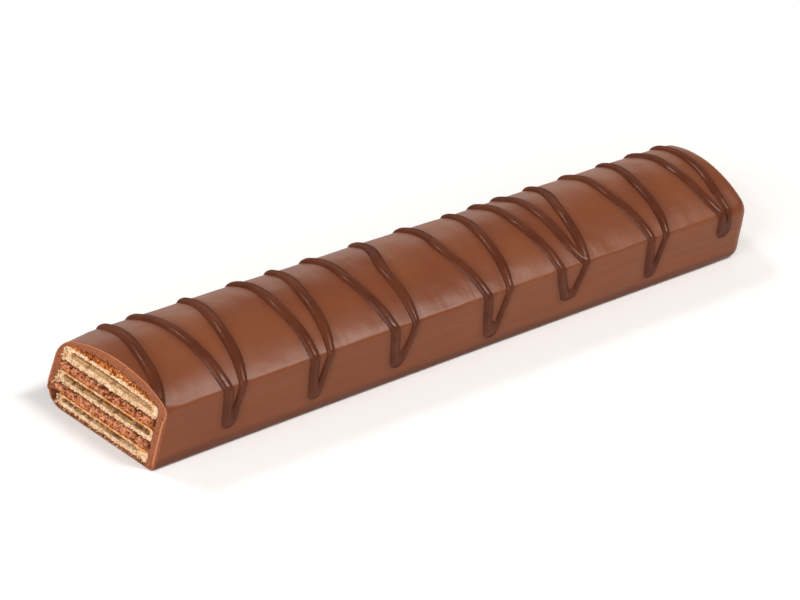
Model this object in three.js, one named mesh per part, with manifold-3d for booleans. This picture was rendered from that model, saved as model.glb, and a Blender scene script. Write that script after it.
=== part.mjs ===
// Hazelnut cream wafer bar: a milk chocolate coat with a zigzag drizzle, cut slantwise at one end so that
// three wafer sheets and two layers of hazelnut cream show. Millimetres, +Z up. The bar runs along X with
// the cut at the -X end, its front side faces -Y, and it lies on its flat bottom at z = 0.
import * as THREE from "three";
import { mergeVertices } from "three/addons/utils/BufferGeometryUtils.js";
import Module from "manifold-3d";

const wasm = await Module();
wasm.setup();

// Bar: length along its axis from the middle of the cut to the closed far end.
const AXIS_LENGTH = 120;
const FOOT_WIDTH = 21.95;
const SHOULDER_WIDTH = 21.4;
const SHOULDER_HEIGHT = 10.8;
const CROWN_HEIGHT = 13.8;
const CROWN_RADIUS = 20.7;
const WAIST = 0.25; // how much narrower each side is at mid length
const END_ROUNDING = 2.4;

// Edge radii along the bar, and at the cut, where the edges are more worn between two places along it.
const FRONT = { sign: -1, shoulder: 1.2, wornShoulder: 2.0, foot: 0.6, wornFoot: 0.6 };
const BACK = { sign: 1, shoulder: 1.0, wornShoulder: 5.0, foot: 1.6, wornFoot: 3.7 };
const FAR_SHOULDER = 2.8;
const FAR_FOOT = 1.2;
const WORN = { from: -62.5, to: -56 };
const FAR_ZONE = 10; // length over which the edges change to those of the far end
const FAR_LEAN = { slope: 0.045, zone: 6 }; // the far end stands out further at its foot than at its top

// Rings of the coat's body: how far it starts beyond the middle of the cut, and where the others lie.
const BEYOND_CUT = 8;
const RING_PLACES = [-62.5, -59.5, -56, -48, -40, -24, -8, 8, 24, 40, 48, 54];
const ROUNDING_STEPS = 3;

// Cut: its slant across the bar, its lean backwards and the height at which it crosses the axis length.
const CUT_SLANT = THREE.MathUtils.degToRad(17.2);
const CUT_LEAN = THREE.MathUtils.degToRad(12.4);
const CUT_HEIGHT = 7;
const CUT_BLOCK = { thickness: 40, width: 90 };

// Filling: heights of the layers, half widths, and the gap kept between neighbours.
const GAP = 0.1;
const FILLING_HALF_WIDTH = 9.45;
const FAR_WALL = 1.9;
const LAYERS = [
  { name: "wafer_bottom", from: 0.6, to: 2.6, wafer: true },
  { name: "cream_lower", from: 2.6, to: 4.3, wafer: false },
  { name: "wafer_middle", from: 4.3, to: 6.5, wafer: true },
  { name: "cream_upper", from: 6.5, to: 8.3, wafer: false },
  { name: "wafer_top", from: 8.3, to: 11.0, wafer: true, arch: 1.0 },
];
const WAFER_EDGE_RADIUS = 0.6;
const CREAM_EDGE_RADIUS = 0.15;
const AIRY_EDGE_RADIUS = 0.25;
const SKIN = 0.55; // thickness of a wafer's two crisp skins round its airy middle
const AIRY_DEPTH = 0.8; // how far the airy middle lies back from the cut
const CREAM_DEPTH = 0.3;
const CRUMB = { least: 0.3, most: 0.5, proud: 0.12, margin: 1 };
const CRUMB_SPACING = { foam: 1.9, cream: 1.15, crust: 0.95 };
const CRUMB_SPREAD = { foam: 0.3, cream: 0.9, crust: 0.5 };

// Drizzle: thread radius, how deep its middle lies under the coat's surface, and the drops at its turns,
// given by their half sizes.
const THREAD_RADIUS = 0.85;
const THREAD_SINK = 0.28;
const THREAD_SIDES = 8;
const STEPS_BETWEEN_STATIONS = 3;
const DROP = { width: 1.35, height: 1.8, thickness: 0.95 };
const ARM_SPREAD = 0.7; // half the distance between two arms where they end in a drop
const BACK_TURN = { station: -17.5, lean: -1.0 };
const BACK_SHOULDER = { station: -12, left: -1.6, right: -0.6 }; // how far each arm has moved by there

// Zigzag: where the two arms of each turn lie along the bar, at stations round the section. The station
// is the length along the surface from the crown line, positive down the front side. Each turn ends in
// a drop whose lowest point is its tip and whose half width is its lobe.
const STATIONS = [-8, 0, 8, 12];
const FRONT_TURNS = [
  { tip: 18.6, lobe: 1.3, at: -45.2, left: [-49.1, -47.4, -46.0, -45.75], right: [-41.0, -41.5, -42.3, -43.3] },
  { tip: 19.1, lobe: 1.2, at: -29.9, left: [-31.6, -31.1, -30.3, -30.6], right: [-25.3, -26.0, -26.8, -27.8] },
  { tip: 18.9, lobe: 1.5, at: -14.4, left: [-18.0, -17.5, -16.0, -15.6], right: [-9.3, -11.1, -11.3, -11.8] },
  { tip: 19.8, lobe: 1.6, at: 4.2, left: [0.3, 0.35, 2.1, 2.5], right: [9.2, 8.5, 7.6, 6.7] },
  { tip: 17.8, lobe: 1.9, at: 19.7, left: [15.5, 16.1, 17.3, 17.6], right: [26.7, 24.8, 23.5, 22.5] },
  { tip: 19.3, lobe: 1.3, at: 38.2, left: [35.2, 35.5, 36.8, 36.9], right: [43.0, 41.8, 41.0, 40.0] },
  { tip: 16.0, lobe: 1.6, at: 54.1, left: [50.5, 50.9, 51.9, 53.0], right: [55.7, 55.4, 54.5, 54.8] },
];
const FIRST_ARM = [-54.8, -55.0, -55.9, -57.2]; // comes from the back and ends at the cut
const EXTRA_ARM = { end: 10.2, x: [20.5, 21.0, 21.6, 22.3] }; // ends on the front shoulder

const COLOURS = { chocolate: 0x855039, wafer: 0xd6b385, cream: 0x9c6246 };

// Random numbers that are the same on each run.
function seededRandom(seed) {
  let state = seed;
  return () => {
    state = (Math.imul(state, 1664525) + 1013904223) >>> 0;
    return state / 4294967296;
  };
}

function solidFrom(geometry) {
  const bare = geometry.clone();
  bare.deleteAttribute("normal");
  bare.deleteAttribute("uv");
  const merged = mergeVertices(bare, 1e-4);
  return new wasm.Manifold(
    new wasm.Mesh({
      numProp: 3,
      vertProperties: merged.attributes.position.array,
      triVerts: new Uint32Array(merged.index.array),
    }),
  );
}

function geometryFrom(solid) {
  const mesh = solid.getMesh();
  const geometry = new THREE.BufferGeometry();
  geometry.setAttribute("position", new THREE.BufferAttribute(mesh.vertProperties, 3));
  geometry.setIndex(new THREE.BufferAttribute(mesh.triVerts, 1));
  geometry.computeVertexNormals();
  return geometry;
}

// The largest piece of a solid, with pockets that joining sealed filled and loose scraps dropped.
function onePiece(solid) {
  return solid.decompose().reduce((kept, piece) => (piece.volume() > kept.volume() ? piece : kept));
}

// How worn the edges are at a place along the bar: 1 at the cut, 0 beyond the worn stretch.
function wearAt(x) {
  return 1 - THREE.MathUtils.smoothstep(x, WORN.from, WORN.to);
}

function arcPoints(centre, radius, from, to, count) {
  return Array.from({ length: count }, (_, i) => {
    const angle = THREE.MathUtils.lerp(from, to, i / (count - 1));
    return new THREE.Vector2(centre.x + radius * Math.cos(angle), centre.y + radius * Math.sin(angle));
  });
}

// Half of the coat's outline, from foot to crown, drawn on the -Y side and mirrored for the back.
// The fillets at foot and shoulder are arcs that touch the leaning side, the floor and the crown's arc.
function halfOutline(edge, x) {
  const narrowing = WAIST * (1 - (2 * x / AXIS_LENGTH) ** 2);
  const wear = wearAt(x);
  const nearFar = THREE.MathUtils.smoothstep(x, AXIS_LENGTH / 2 - FAR_ZONE, AXIS_LENGTH / 2);
  const along = THREE.MathUtils.lerp(edge.shoulder, FAR_SHOULDER, nearFar);
  const shoulder = THREE.MathUtils.lerp(along, edge.wornShoulder, wear);
  const footAlong = THREE.MathUtils.lerp(edge.foot, FAR_FOOT, nearFar);
  const footRadius = THREE.MathUtils.lerp(footAlong, edge.wornFoot, wear);
  const foot = new THREE.Vector2(-FOOT_WIDTH / 2 + Math.max(narrowing, 0), 0);
  const lean = new THREE.Vector2((FOOT_WIDTH - SHOULDER_WIDTH) / 2, SHOULDER_HEIGHT).normalize();
  const outward = new THREE.Vector2(-lean.y, lean.x);
  const sideAngle = Math.atan2(outward.y, outward.x);
  const crown = new THREE.Vector2(0, CROWN_HEIGHT - CROWN_RADIUS);

  const footRun = (footRadius * (1 + outward.y)) / -outward.x;
  const footCentre = new THREE.Vector2(foot.x + footRun, footRadius);
  const start = foot.clone().addScaledVector(outward, -shoulder).sub(crown);
  const half = start.dot(lean);
  const reach = -half + Math.sqrt(half * half - start.lengthSq() + (CROWN_RADIUS - shoulder) ** 2);
  const shoulderCentre = start.addScaledVector(lean, reach).add(crown);
  const toShoulder = shoulderCentre.clone().sub(crown);
  const shoulderAngle = Math.atan2(toShoulder.y, toShoulder.x);

  const points = [
    ...arcPoints(footCentre, footRadius, 1.5 * Math.PI, sideAngle, 4),
    ...arcPoints(shoulderCentre, shoulder, sideAngle, shoulderAngle, 5),
    ...arcPoints(crown, CROWN_RADIUS, shoulderAngle, Math.PI / 2, 6).slice(1),
  ];
  return points.map((p) => new THREE.Vector2(p.x * -edge.sign, p.y));
}

// The whole outline across the bar at x: up the front, over the crown and down the back. It shrinks
// towards its middle by an inset where the far end is rounded over.
function coatOutline(x, inset = 0) {
  const front = halfOutline(FRONT, x);
  const back = halfOutline(BACK, x).reverse().slice(1);
  const middle = CROWN_HEIGHT / 2;
  const across = 1 - inset / (FOOT_WIDTH / 2);
  const upright = 1 - inset / middle;
  return [...front, ...back].map((p) => new THREE.Vector2(p.x * across, middle + (p.y - middle) * upright));
}

// A closed solid through rings of points, each a list of (y, z) at its own x.
function loft(rings) {
  const size = rings[0].points.length;
  const positions = rings.flatMap(({ x, points }) => points.flatMap((p) => [x, p.x, p.y]));
  const indices = [];
  for (let ring = 0; ring + 1 < rings.length; ring++) {
    for (let i = 0; i < size; i++) {
      const next = (i + 1) % size;
      const [a, b] = [ring * size + i, ring * size + next];
      const [c, d] = [a + size, b + size];
      indices.push(a, c, b, b, c, d);
    }
  }
  const lastRing = (rings.length - 1) * size;
  for (let i = 1; i + 1 < size; i++) {
    indices.push(0, i, i + 1, lastRing, lastRing + i + 1, lastRing + i);
  }
  const geometry = new THREE.BufferGeometry();
  geometry.setAttribute("position", new THREE.Float32BufferAttribute(positions, 3));
  geometry.setIndex(indices);
  return geometry;
}

// The bar's body before the cut, with its far end rounded over.
function barBody() {
  const far = AXIS_LENGTH / 2;
  const rings = [-far - BEYOND_CUT, ...RING_PLACES].map((x) => ({ x, points: coatOutline(x) }));
  for (let step = 0; step <= ROUNDING_STEPS; step++) {
    const angle = (step / ROUNDING_STEPS) * (Math.PI / 2);
    const x = far - END_ROUNDING * (1 - Math.sin(angle));
    rings.push({ x, points: coatOutline(x, END_ROUNDING * (1 - Math.cos(angle))) });
  }
  const lean = (v) => {
    const nearFar = THREE.MathUtils.smoothstep(v[0], far - FAR_LEAN.zone, far);
    v[0] += FAR_LEAN.slope * (CROWN_HEIGHT / 2 - v[2]) * nearFar;
  };
  return solidFrom(loft(rings)).warp(lean);
}

// A block that takes away all that lies in front of the cut, or reaches deeper behind it.
function cutBlock(depth = 0) {
  const normal = new THREE.Vector3(1, Math.tan(CUT_SLANT), -Math.tan(CUT_LEAN)).normalize();
  const { thickness, width } = CUT_BLOCK;
  const block = new THREE.BoxGeometry(thickness, width, width);
  block.applyQuaternion(new THREE.Quaternion().setFromUnitVectors(new THREE.Vector3(1, 0, 0), normal));
  const centre = new THREE.Vector3(-AXIS_LENGTH / 2, 0, CUT_HEIGHT);
  centre.addScaledVector(normal, depth - thickness / 2);
  block.translate(centre.x, centre.y, centre.z);
  return solidFrom(block);
}

function cutX(y, z) {
  return -AXIS_LENGTH / 2 - Math.tan(CUT_SLANT) * y + Math.tan(CUT_LEAN) * (z - CUT_HEIGHT);
}

// The outward normal at a corner of the outline, between those of its two neighbouring sides.
function normalAt(outline, at) {
  const chord = outline[at + 1].clone().sub(outline[at - 1]).normalize();
  return new THREE.Vector2(-chord.y, chord.x);
}

// A point of the coat's surface at x and a station, sunk by a depth along the surface's normal.
function surfacePoint(x, station, sink) {
  const outline = coatOutline(x);
  const step = station > 0 ? -1 : 1;
  let rest = Math.abs(station);
  let at = (outline.length - 1) / 2;
  let side = outline[at].distanceTo(outline[at + step]);
  while (rest > side) {
    rest -= side;
    at += step;
    side = outline[at].distanceTo(outline[at + step]);
  }
  const share = rest / side;
  const place = outline[at].clone().lerp(outline[at + step], share);
  const normal = normalAt(outline, at).lerp(normalAt(outline, at + step), share).normalize();
  place.addScaledVector(normal, -sink);
  return new THREE.Vector3(x, place.x, place.y);
}

// One arm of the drizzle: a path over the coat through places given as (x, station).
class ArmPath extends THREE.Curve {
  constructor(places) {
    super();
    this.flat = new THREE.CatmullRomCurve3(places.map(([x, station]) => new THREE.Vector3(x, station, 0)));
  }
  getPoint(t) {
    const { x, y } = this.flat.getPoint(t);
    return surfacePoint(x, y, THREAD_SINK);
  }
  // Steps are shared out evenly between the places, which lie closer together at the shoulders.
  getUtoTmapping(u) {
    return u;
  }
}

function thread(places) {
  const round = new THREE.Shape().absarc(0, 0, THREAD_RADIUS, 0, 2 * Math.PI);
  const steps = STEPS_BETWEEN_STATIONS * (places.length - 1);
  // A full circle is drawn with twice as many sides as its segments.
  const options = { steps, curveSegments: THREAD_SIDES / 2, bevelEnabled: false };
  return solidFrom(new THREE.ExtrudeGeometry(round, { ...options, extrudePath: new ArmPath(places) }));
}

// A flattened drop on the side, where two arms meet or one ends.
function drop(x, station, width, height = DROP.height) {
  const bead = new THREE.IcosahedronGeometry(1, 1);
  bead.scale(width, DROP.thickness, height);
  const place = surfacePoint(x, station, 0);
  bead.translate(place.x, place.y, place.z);
  return solidFrom(bead);
}

function drizzle() {
  const arms = [];
  const drops = [];
  // An arm's places from its turn on the back to its last station on the front.
  const over = (back, xs, lean) => {
    const shoulder = [xs[0] + lean, BACK_SHOULDER.station];
    return [[back, BACK_TURN.station], shoulder, ...xs.map((x, i) => [x, STATIONS[i]])];
  };
  const backDrop = (x) => drop(x, BACK_TURN.station, DROP.width);
  const lefts = FRONT_TURNS.map((turn) => turn.left);
  const rights = [FIRST_ARM, ...FRONT_TURNS.map((turn) => turn.right)];
  // Each right arm and the next turn's left arm come together on the back.
  const backs = lefts.map((left, i) => (left[0] + rights[i][0]) / 2 + BACK_TURN.lean);
  FRONT_TURNS.forEach(({ tip, lobe, at, left, right }, i) => {
    const nextBack = i + 1 < backs.length ? backs[i + 1] - ARM_SPREAD : right[0] + ARM_SPREAD;
    const low = tip - DROP.height;
    arms.push([...over(backs[i] + ARM_SPREAD, left, BACK_SHOULDER.left), [at - lobe / 2, low]]);
    arms.push([...over(nextBack, right, BACK_SHOULDER.right), [at + lobe / 2, low]]);
    drops.push(drop(at, low, lobe), backDrop(backs[i]));
  });
  arms.push(over(backs[0] - ARM_SPREAD, FIRST_ARM, BACK_SHOULDER.right));
  const lastRight = rights[rights.length - 1];
  drops.push(backDrop(lastRight[0] + ARM_SPREAD));
  const [extraBack, extraEnd] = [EXTRA_ARM.x[0], EXTRA_ARM.x[3]];
  const extraStart = extraBack + BACK_SHOULDER.left;
  arms.push([...over(extraStart, EXTRA_ARM.x.slice(0, 3), BACK_SHOULDER.left), [extraEnd, EXTRA_ARM.end]]);
  drops.push(backDrop(extraStart), drop(extraEnd, EXTRA_ARM.end, THREAD_RADIUS, THREAD_RADIUS));
  return wasm.Manifold.union([...arms.map(thread), ...drops]);
}

// A prism along the bar from before the cut to the far wall, over an outline of (y, z).
function prism(shape, clearance = 0) {
  const from = -AXIS_LENGTH / 2 - BEYOND_CUT;
  const to = AXIS_LENGTH / 2 - FAR_WALL + clearance;
  const body = new THREE.ExtrudeGeometry(shape, { depth: to - from, bevelEnabled: false, curveSegments: 4 });
  // The outline's own x becomes y and its y becomes z, and the depth runs along x.
  body.applyMatrix4(new THREE.Matrix4().set(0, 0, 1, from, 1, 0, 0, 0, 0, 1, 0, 0, 0, 0, 0, 1));
  return solidFrom(body);
}

// A rectangle with rounded corners whose top may rise in an arch.
function layerShape(halfWidth, bottom, top, radius, arch = 0) {
  const shape = new THREE.Shape();
  shape.moveTo(-halfWidth + radius, bottom);
  shape.lineTo(halfWidth - radius, bottom);
  shape.absarc(halfWidth - radius, bottom + radius, radius, -Math.PI / 2, 0);
  shape.lineTo(halfWidth, top - radius);
  shape.absarc(halfWidth - radius, top - radius, radius, 0, Math.PI / 2);
  if (arch > 0) {
    const span = halfWidth - radius;
    const archRadius = (span * span + arch * arch) / (2 * arch);
    const half = Math.asin(span / archRadius);
    shape.absarc(0, top + arch - archRadius, archRadius, Math.PI / 2 - half, Math.PI / 2 + half);
  }
  shape.absarc(-halfWidth + radius, top - radius, radius, Math.PI / 2, Math.PI);
  shape.lineTo(-halfWidth, bottom + radius);
  shape.absarc(-halfWidth + radius, bottom + radius, radius, Math.PI, 1.5 * Math.PI);
  return shape;
}

// Crumbs along a line across the cut, their middles at a depth behind it.
function crumbs(random, spacing, heightAt, spread, depthOf) {
  const made = [];
  const reach = FILLING_HALF_WIDTH - CRUMB.margin;
  for (let y = -reach; y < reach; y += spacing) {
    const size = THREE.MathUtils.lerp(CRUMB.least, CRUMB.most, random());
    const crumb = new THREE.IcosahedronGeometry(size, 0);
    crumb.rotateX(random() * Math.PI);
    crumb.rotateZ(random() * Math.PI);
    const across = y + (random() - 0.5) * spacing;
    const up = heightAt(across) + (random() - 0.5) * spread;
    crumb.translate(cutX(across, up) + depthOf(size), across, up);
    made.push(solidFrom(crumb));
  }
  return made;
}

function buildLayer({ from, to, wafer, arch = 0 }, random) {
  const radius = wafer ? WAFER_EDGE_RADIUS : CREAM_EDGE_RADIUS;
  const shape = layerShape(FILLING_HALF_WIDTH, from + GAP / 2, to - GAP / 2, radius, arch);
  const body = prism(shape);
  const middle = (from + to) / 2;
  if (!wafer) {
    const lumps = crumbs(random, CRUMB_SPACING.cream, () => middle, CRUMB_SPREAD.cream, () => CREAM_DEPTH);
    return onePiece(wasm.Manifold.union([body.subtract(cutBlock(CREAM_DEPTH)), ...lumps]).intersect(body));
  }
  // The airy middle is set back from the cut between the two skins, with lumps of foam in it.
  const airy = layerShape(FILLING_HALF_WIDTH - 2 * SKIN, from + SKIN, to - SKIN, AIRY_EDGE_RADIUS);
  const hollow = prism(airy).intersect(cutBlock(AIRY_DEPTH));
  const added = crumbs(random, CRUMB_SPACING.foam, () => middle, CRUMB_SPREAD.foam, () => AIRY_DEPTH);
  if (arch > 0) {
    const archAt = (y) => to + arch * (1 - (y / FILLING_HALF_WIDTH) ** 2) - CRUMB.least;
    const depth = (size) => size - CRUMB.proud;
    added.push(...crumbs(random, CRUMB_SPACING.crust, archAt, CRUMB_SPREAD.crust, depth));
  }
  const sheet = body.subtract(cutBlock()).subtract(hollow);
  return onePiece(wasm.Manifold.union([sheet, ...added]).intersect(body));
}

function coat() {
  const top = LAYERS[LAYERS.length - 1];
  const half = FILLING_HALF_WIDTH + GAP;
  const cavity = layerShape(half, LAYERS[0].from - GAP / 2, top.to + GAP / 2, WAFER_EDGE_RADIUS, top.arch);
  const whole = barBody().add(drizzle());
  return whole.subtract(cutBlock()).subtract(prism(cavity, GAP));
}

function meshOf(name, solid, colour, roughness) {
  const material = new THREE.MeshStandardMaterial({ color: colour, roughness, metalness: 0 });
  const mesh = new THREE.Mesh(geometryFrom(solid), material);
  mesh.name = name;
  return mesh;
}

const group = new THREE.Group();
group.add(meshOf("chocolate_coat", coat(), COLOURS.chocolate, 0.35));
const random = seededRandom(7);
for (const layer of LAYERS) {
  const colour = layer.wafer ? COLOURS.wafer : COLOURS.cream;
  group.add(meshOf(layer.name, buildLayer(layer, random), colour, 0.8));
}

// The middle of the bar's bounding box stands over the origin.
const box = new THREE.Box3().setFromObject(group);
group.position.set(-(box.min.x + box.max.x) / 2, -(box.min.y + box.max.y) / 2, -box.min.z);

export default group;
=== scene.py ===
"""Hazelnut cream wafer bar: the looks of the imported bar, built round its solids.

All sizes are in millimetres until a mesh is made, and every mesh is in metres in the part's own frame: the
bar runs along X with its slanted cut at the low end, its front side faces -Y and it rests on z = 0.
A span is a pair of places between which something rises, or of limits between which it is drawn.
"""

import logging
import math
from dataclasses import dataclass, field
from enum import Enum
from typing import Any, Callable, ClassVar, Sequence

import bpy
import numpy as np
from bpy.types import Material, Node, NodeSocket, NodeTree, Object
from mathutils import Matrix, Vector
from mathutils.kdtree import KDTree


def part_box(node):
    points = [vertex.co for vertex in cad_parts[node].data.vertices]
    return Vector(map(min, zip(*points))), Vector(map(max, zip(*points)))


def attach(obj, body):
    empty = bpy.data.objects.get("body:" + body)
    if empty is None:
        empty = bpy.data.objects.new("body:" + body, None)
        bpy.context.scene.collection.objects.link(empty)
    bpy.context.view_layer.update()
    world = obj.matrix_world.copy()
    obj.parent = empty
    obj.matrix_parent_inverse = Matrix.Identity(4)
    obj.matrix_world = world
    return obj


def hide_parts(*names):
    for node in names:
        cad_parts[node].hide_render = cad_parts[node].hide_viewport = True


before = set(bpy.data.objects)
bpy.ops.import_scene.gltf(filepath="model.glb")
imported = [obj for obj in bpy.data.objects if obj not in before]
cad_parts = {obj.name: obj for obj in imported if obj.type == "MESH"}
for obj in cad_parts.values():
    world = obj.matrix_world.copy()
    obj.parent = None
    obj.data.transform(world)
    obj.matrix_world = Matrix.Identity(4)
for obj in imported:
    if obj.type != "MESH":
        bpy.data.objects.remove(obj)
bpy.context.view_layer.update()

LOG = logging.getLogger("wafer_bar")
MM = 0.001
ROOT = "root"
VECTOR = "FLOAT_VECTOR"
QUARTER = math.pi / 2

Array = np.ndarray
Values = float | Array
Masks = dict[str, Array]
Span = tuple[float, float]
Waves = tuple[float, float, float]
Colour = tuple[float, float, float, float]
Face = tuple[int, ...]


class Food(Enum):
    """What a piece is made of, named as the record's material slot."""

    MILK = "milk_chocolate"
    DARK = "dark_drizzle"
    WAFER = "wafer"
    CREAM = "hazelnut_cream"


# Uneven forms


def smoothstep(value: Values, low: Values, high: Values) -> Values:
    """Rises smoothly from 0 where the value is low or less to 1 where it is high or more."""
    share = np.clip((value - low) / (high - low), 0.0, 1.0)
    return share * share * (3.0 - 2.0 * share)


def falling(value: Values, low: Values, high: Values) -> Values:
    """Falls smoothly from 1 where the value is low or less to 0 where it is high or more."""
    return 1 - smoothstep(value, low, high)


def blend(first: Values, second: Values, share: Values) -> Values:
    """Goes from the first value to the second as the share goes from 0 to 1."""
    return first + (second - first) * share


def dome(distance: Array) -> Array:
    """A rounded hump: 1 in its middle and 0 from a distance of 1 on."""
    return 1 - np.clip(distance, 0, 1) ** 2


def arc(centre: Sequence[float], radius: float, start: float, stop: float, count: int) -> Array:
    """Points (y, z) of an arc round a centre, from one angle in radians to another."""
    angles = np.linspace(start, stop, count)
    return np.array(centre) + radius * np.column_stack([np.cos(angles), np.sin(angles)])


def run_along(line: Array) -> Array:
    """The length along a line up to each of its points (y, z)."""
    return np.concatenate([[0.0], np.cumsum(np.hypot(*np.diff(line, axis=0).T))])


def points_at(wanted: Array, line: Array) -> Array:
    """The points of a line at the wanted lengths along it."""
    run = run_along(line)
    return np.column_stack([np.interp(wanted, run, column) for column in line.T])


@dataclass(frozen=True)
class Grain:
    """One kind of unevenness: its size along two axes, where in the noise it starts, and its layers."""

    across: float
    up: float
    start: tuple[float, float] = (0.0, 0.0)
    octaves: int = 2

    def on_lattice(self, a: Values, b: Values) -> tuple[Values, Values]:
        """Places in millimetres as places on the noise's lattice."""
        return a / self.across + self.start[0], b / self.up + self.start[1]


class Unevenness:
    """Seeded smooth noise and cells over a plane, for forms that are never quite regular."""

    LATTICE = 128
    FINER = 2.03
    SHIFT = (17.3, 9.1)
    CALM = 1.6
    INSET = 0.1
    FAR_AWAY = 9.0

    def __init__(self, seed: int) -> None:
        """Draws the lattice from a fixed seed, so that each run gives the same form."""
        random = np.random.default_rng(seed)
        self.heights = random.uniform(-1.0, 1.0, (self.LATTICE, self.LATTICE))
        self.jitter = random.uniform(self.INSET, 1 - self.INSET, (self.LATTICE, self.LATTICE, 2))

    def at(self, a: Array, b: Array) -> Array:
        """Smooth height from -1 to 1 at places whose lattice has unit steps."""
        low_a, low_b = np.floor(a).astype(int), np.floor(b).astype(int)
        share_a, share_b = smoothstep(a - low_a, 0.0, 1.0), smoothstep(b - low_b, 0.0, 1.0)
        rows = [(low_a + step) % self.LATTICE for step in (0, 1)]
        columns = [(low_b + step) % self.LATTICE for step in (0, 1)]
        lower, upper = (blend(self.heights[rows[0], c], self.heights[rows[1], c], share_a) for c in columns)
        return blend(lower, upper, share_b)

    def waves(self, grain: Grain, a: Values, b: Values) -> Array:
        """Noise with finer noise on top, half as strong each time.

        Args:
            grain: the size of the broadest noise, and how many layers it has.
            a: first coordinate in millimetres.
            b: second coordinate.

        Returns:
            Heights of about -1 to 1.
        """
        a, b = grain.on_lattice(a, b)
        total = np.zeros(np.broadcast(a, b).shape)
        for octave in range(grain.octaves):
            scale = self.FINER**octave
            shift_a, shift_b = (shift * octave for shift in self.SHIFT)
            total = total + self.at(a * scale + shift_a, b * scale + shift_b) / 2.0**octave
        return total / self.CALM

    def cells(self, grain: Grain, a: Values, b: Values) -> tuple[Array, Array]:
        """Cells like packed grains.

        Args:
            grain: the cells' size.
            a: first coordinate in millimetres.
            b: second coordinate.

        Returns:
            The distance to the nearest grain's middle, and a number from 0 to 1 that is that grain's own.
        """
        a, b = grain.on_lattice(a, b)
        size = self.LATTICE
        low_a, low_b = np.floor(a).astype(int), np.floor(b).astype(int)
        best = np.full(np.broadcast(a, b).shape, self.FAR_AWAY)
        own = np.zeros_like(best)
        for step_a in (-1, 0, 1):
            for step_b in (-1, 0, 1):
                cell_a, cell_b = low_a + step_a, low_b + step_b
                jitter = self.jitter[cell_a % size, cell_b % size]
                gap = np.hypot(cell_a + jitter[..., 0] - a, cell_b + jitter[..., 1] - b)
                closer = gap < best
                best = np.where(closer, gap, best)
                own = np.where(closer, self.heights[cell_b % size, cell_a % size] * 0.5 + 0.5, own)
        return best, own


# The coat's form


@dataclass(frozen=True)
class LongEdge:
    """How one long side of the coat is rounded, along the bar and where it is worn behind the cut."""

    sign: int
    shoulder: float
    worn_shoulder: float
    foot: float
    worn_foot: float
    worn: Span


FRONT = LongEdge(-1, shoulder=0.65, worn_shoulder=2.6, foot=0.6, worn_foot=0.6, worn=(0.0, 3.0))
BACK = LongEdge(1, shoulder=1.0, worn_shoulder=5.0, foot=1.6, worn_foot=3.7, worn=(0.8, 7.3))


@dataclass(frozen=True)
class BarForm:
    """The coat's form: an arched section that runs along the bar, its far end and its slanted cut."""

    length: float = 120.0
    foot_width: float = 21.95
    shoulder_width: float = 21.4
    shoulder_height: float = 10.8
    crown_height: float = 13.8
    crown_radius: float = 20.7
    waist: float = 0.25
    end_rounding: float = 2.4
    far_shoulder: float = 2.8
    far_foot: float = 1.2
    far_zone: float = 10.0
    far_lean: float = 0.045
    lean_zone: float = 6.0
    cut_slant: float = math.radians(17.2)
    cut_lean: float = math.radians(12.4)
    cut_height: float = 7.0
    crown_points: int = 60
    shoulder_points: int = 14
    foot_points: int = 10

    @property
    def far(self) -> float:
        """Where the far end is along the bar."""
        return self.length / 2

    def cut_x(self, y: Values, z: Values) -> Values:
        """Where the cut crosses the line along the bar at y and z."""
        return -self.far - math.tan(self.cut_slant) * y + math.tan(self.cut_lean) * (z - self.cut_height)

    def leaned(self, points: Array) -> Array:
        """Points (x, y, z) moved as the far end leans: it stands out further at its foot."""
        moved = points.copy()
        near_far = smoothstep(points[..., 0], self.far - self.lean_zone, self.far)
        moved[..., 0] += self.far_lean * (self.crown_height / 2 - points[..., 2]) * near_far
        return moved

    def half_outline(self, edge: LongEdge, x: float) -> Array:
        """Half of the section at x.

        Args:
            edge: the long side that this half is on.
            x: place along the bar.

        Returns:
            Points of (y, z) from the crown down to the floor.
        """
        narrowing = max(self.waist * (1 - (2 * x / self.length) ** 2), 0.0)
        cut = self.cut_x(edge.sign * self.shoulder_width / 2, self.cut_height)
        wear = falling(x - cut, *edge.worn)
        near_far = smoothstep(x, self.far - self.far_zone, self.far)
        shoulder = blend(blend(edge.shoulder, self.far_shoulder, near_far), edge.worn_shoulder, wear)
        foot_radius = blend(blend(edge.foot, self.far_foot, near_far), edge.worn_foot, wear)
        foot = np.array([-self.foot_width / 2 + narrowing, 0.0])
        side = np.array([(self.foot_width - self.shoulder_width) / 2, self.shoulder_height])
        side = side / np.linalg.norm(side)
        outward = np.array([-side[1], side[0]])
        side_angle = math.atan2(outward[1], outward[0])
        foot_centre = (foot[0] + foot_radius * (1 + outward[1]) / -outward[0], foot_radius)
        crown = np.array([0.0, self.crown_height - self.crown_radius])
        start = foot - outward * shoulder - crown
        half = float(start @ side)
        reach = -half + math.sqrt(half * half - float(start @ start) + (self.crown_radius - shoulder) ** 2)
        shoulder_centre = start + side * reach + crown
        to_shoulder = shoulder_centre - crown
        shoulder_angle = math.atan2(to_shoulder[1], to_shoulder[0])
        points = np.vstack(
            [
                arc(crown, self.crown_radius, QUARTER, shoulder_angle, self.crown_points),
                arc(shoulder_centre, shoulder, shoulder_angle, side_angle, self.shoulder_points)[1:],
                arc(foot_centre, foot_radius, side_angle, 3 * QUARTER, self.foot_points),
            ]
        )
        points[:, 0] *= -edge.sign
        return points


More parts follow.
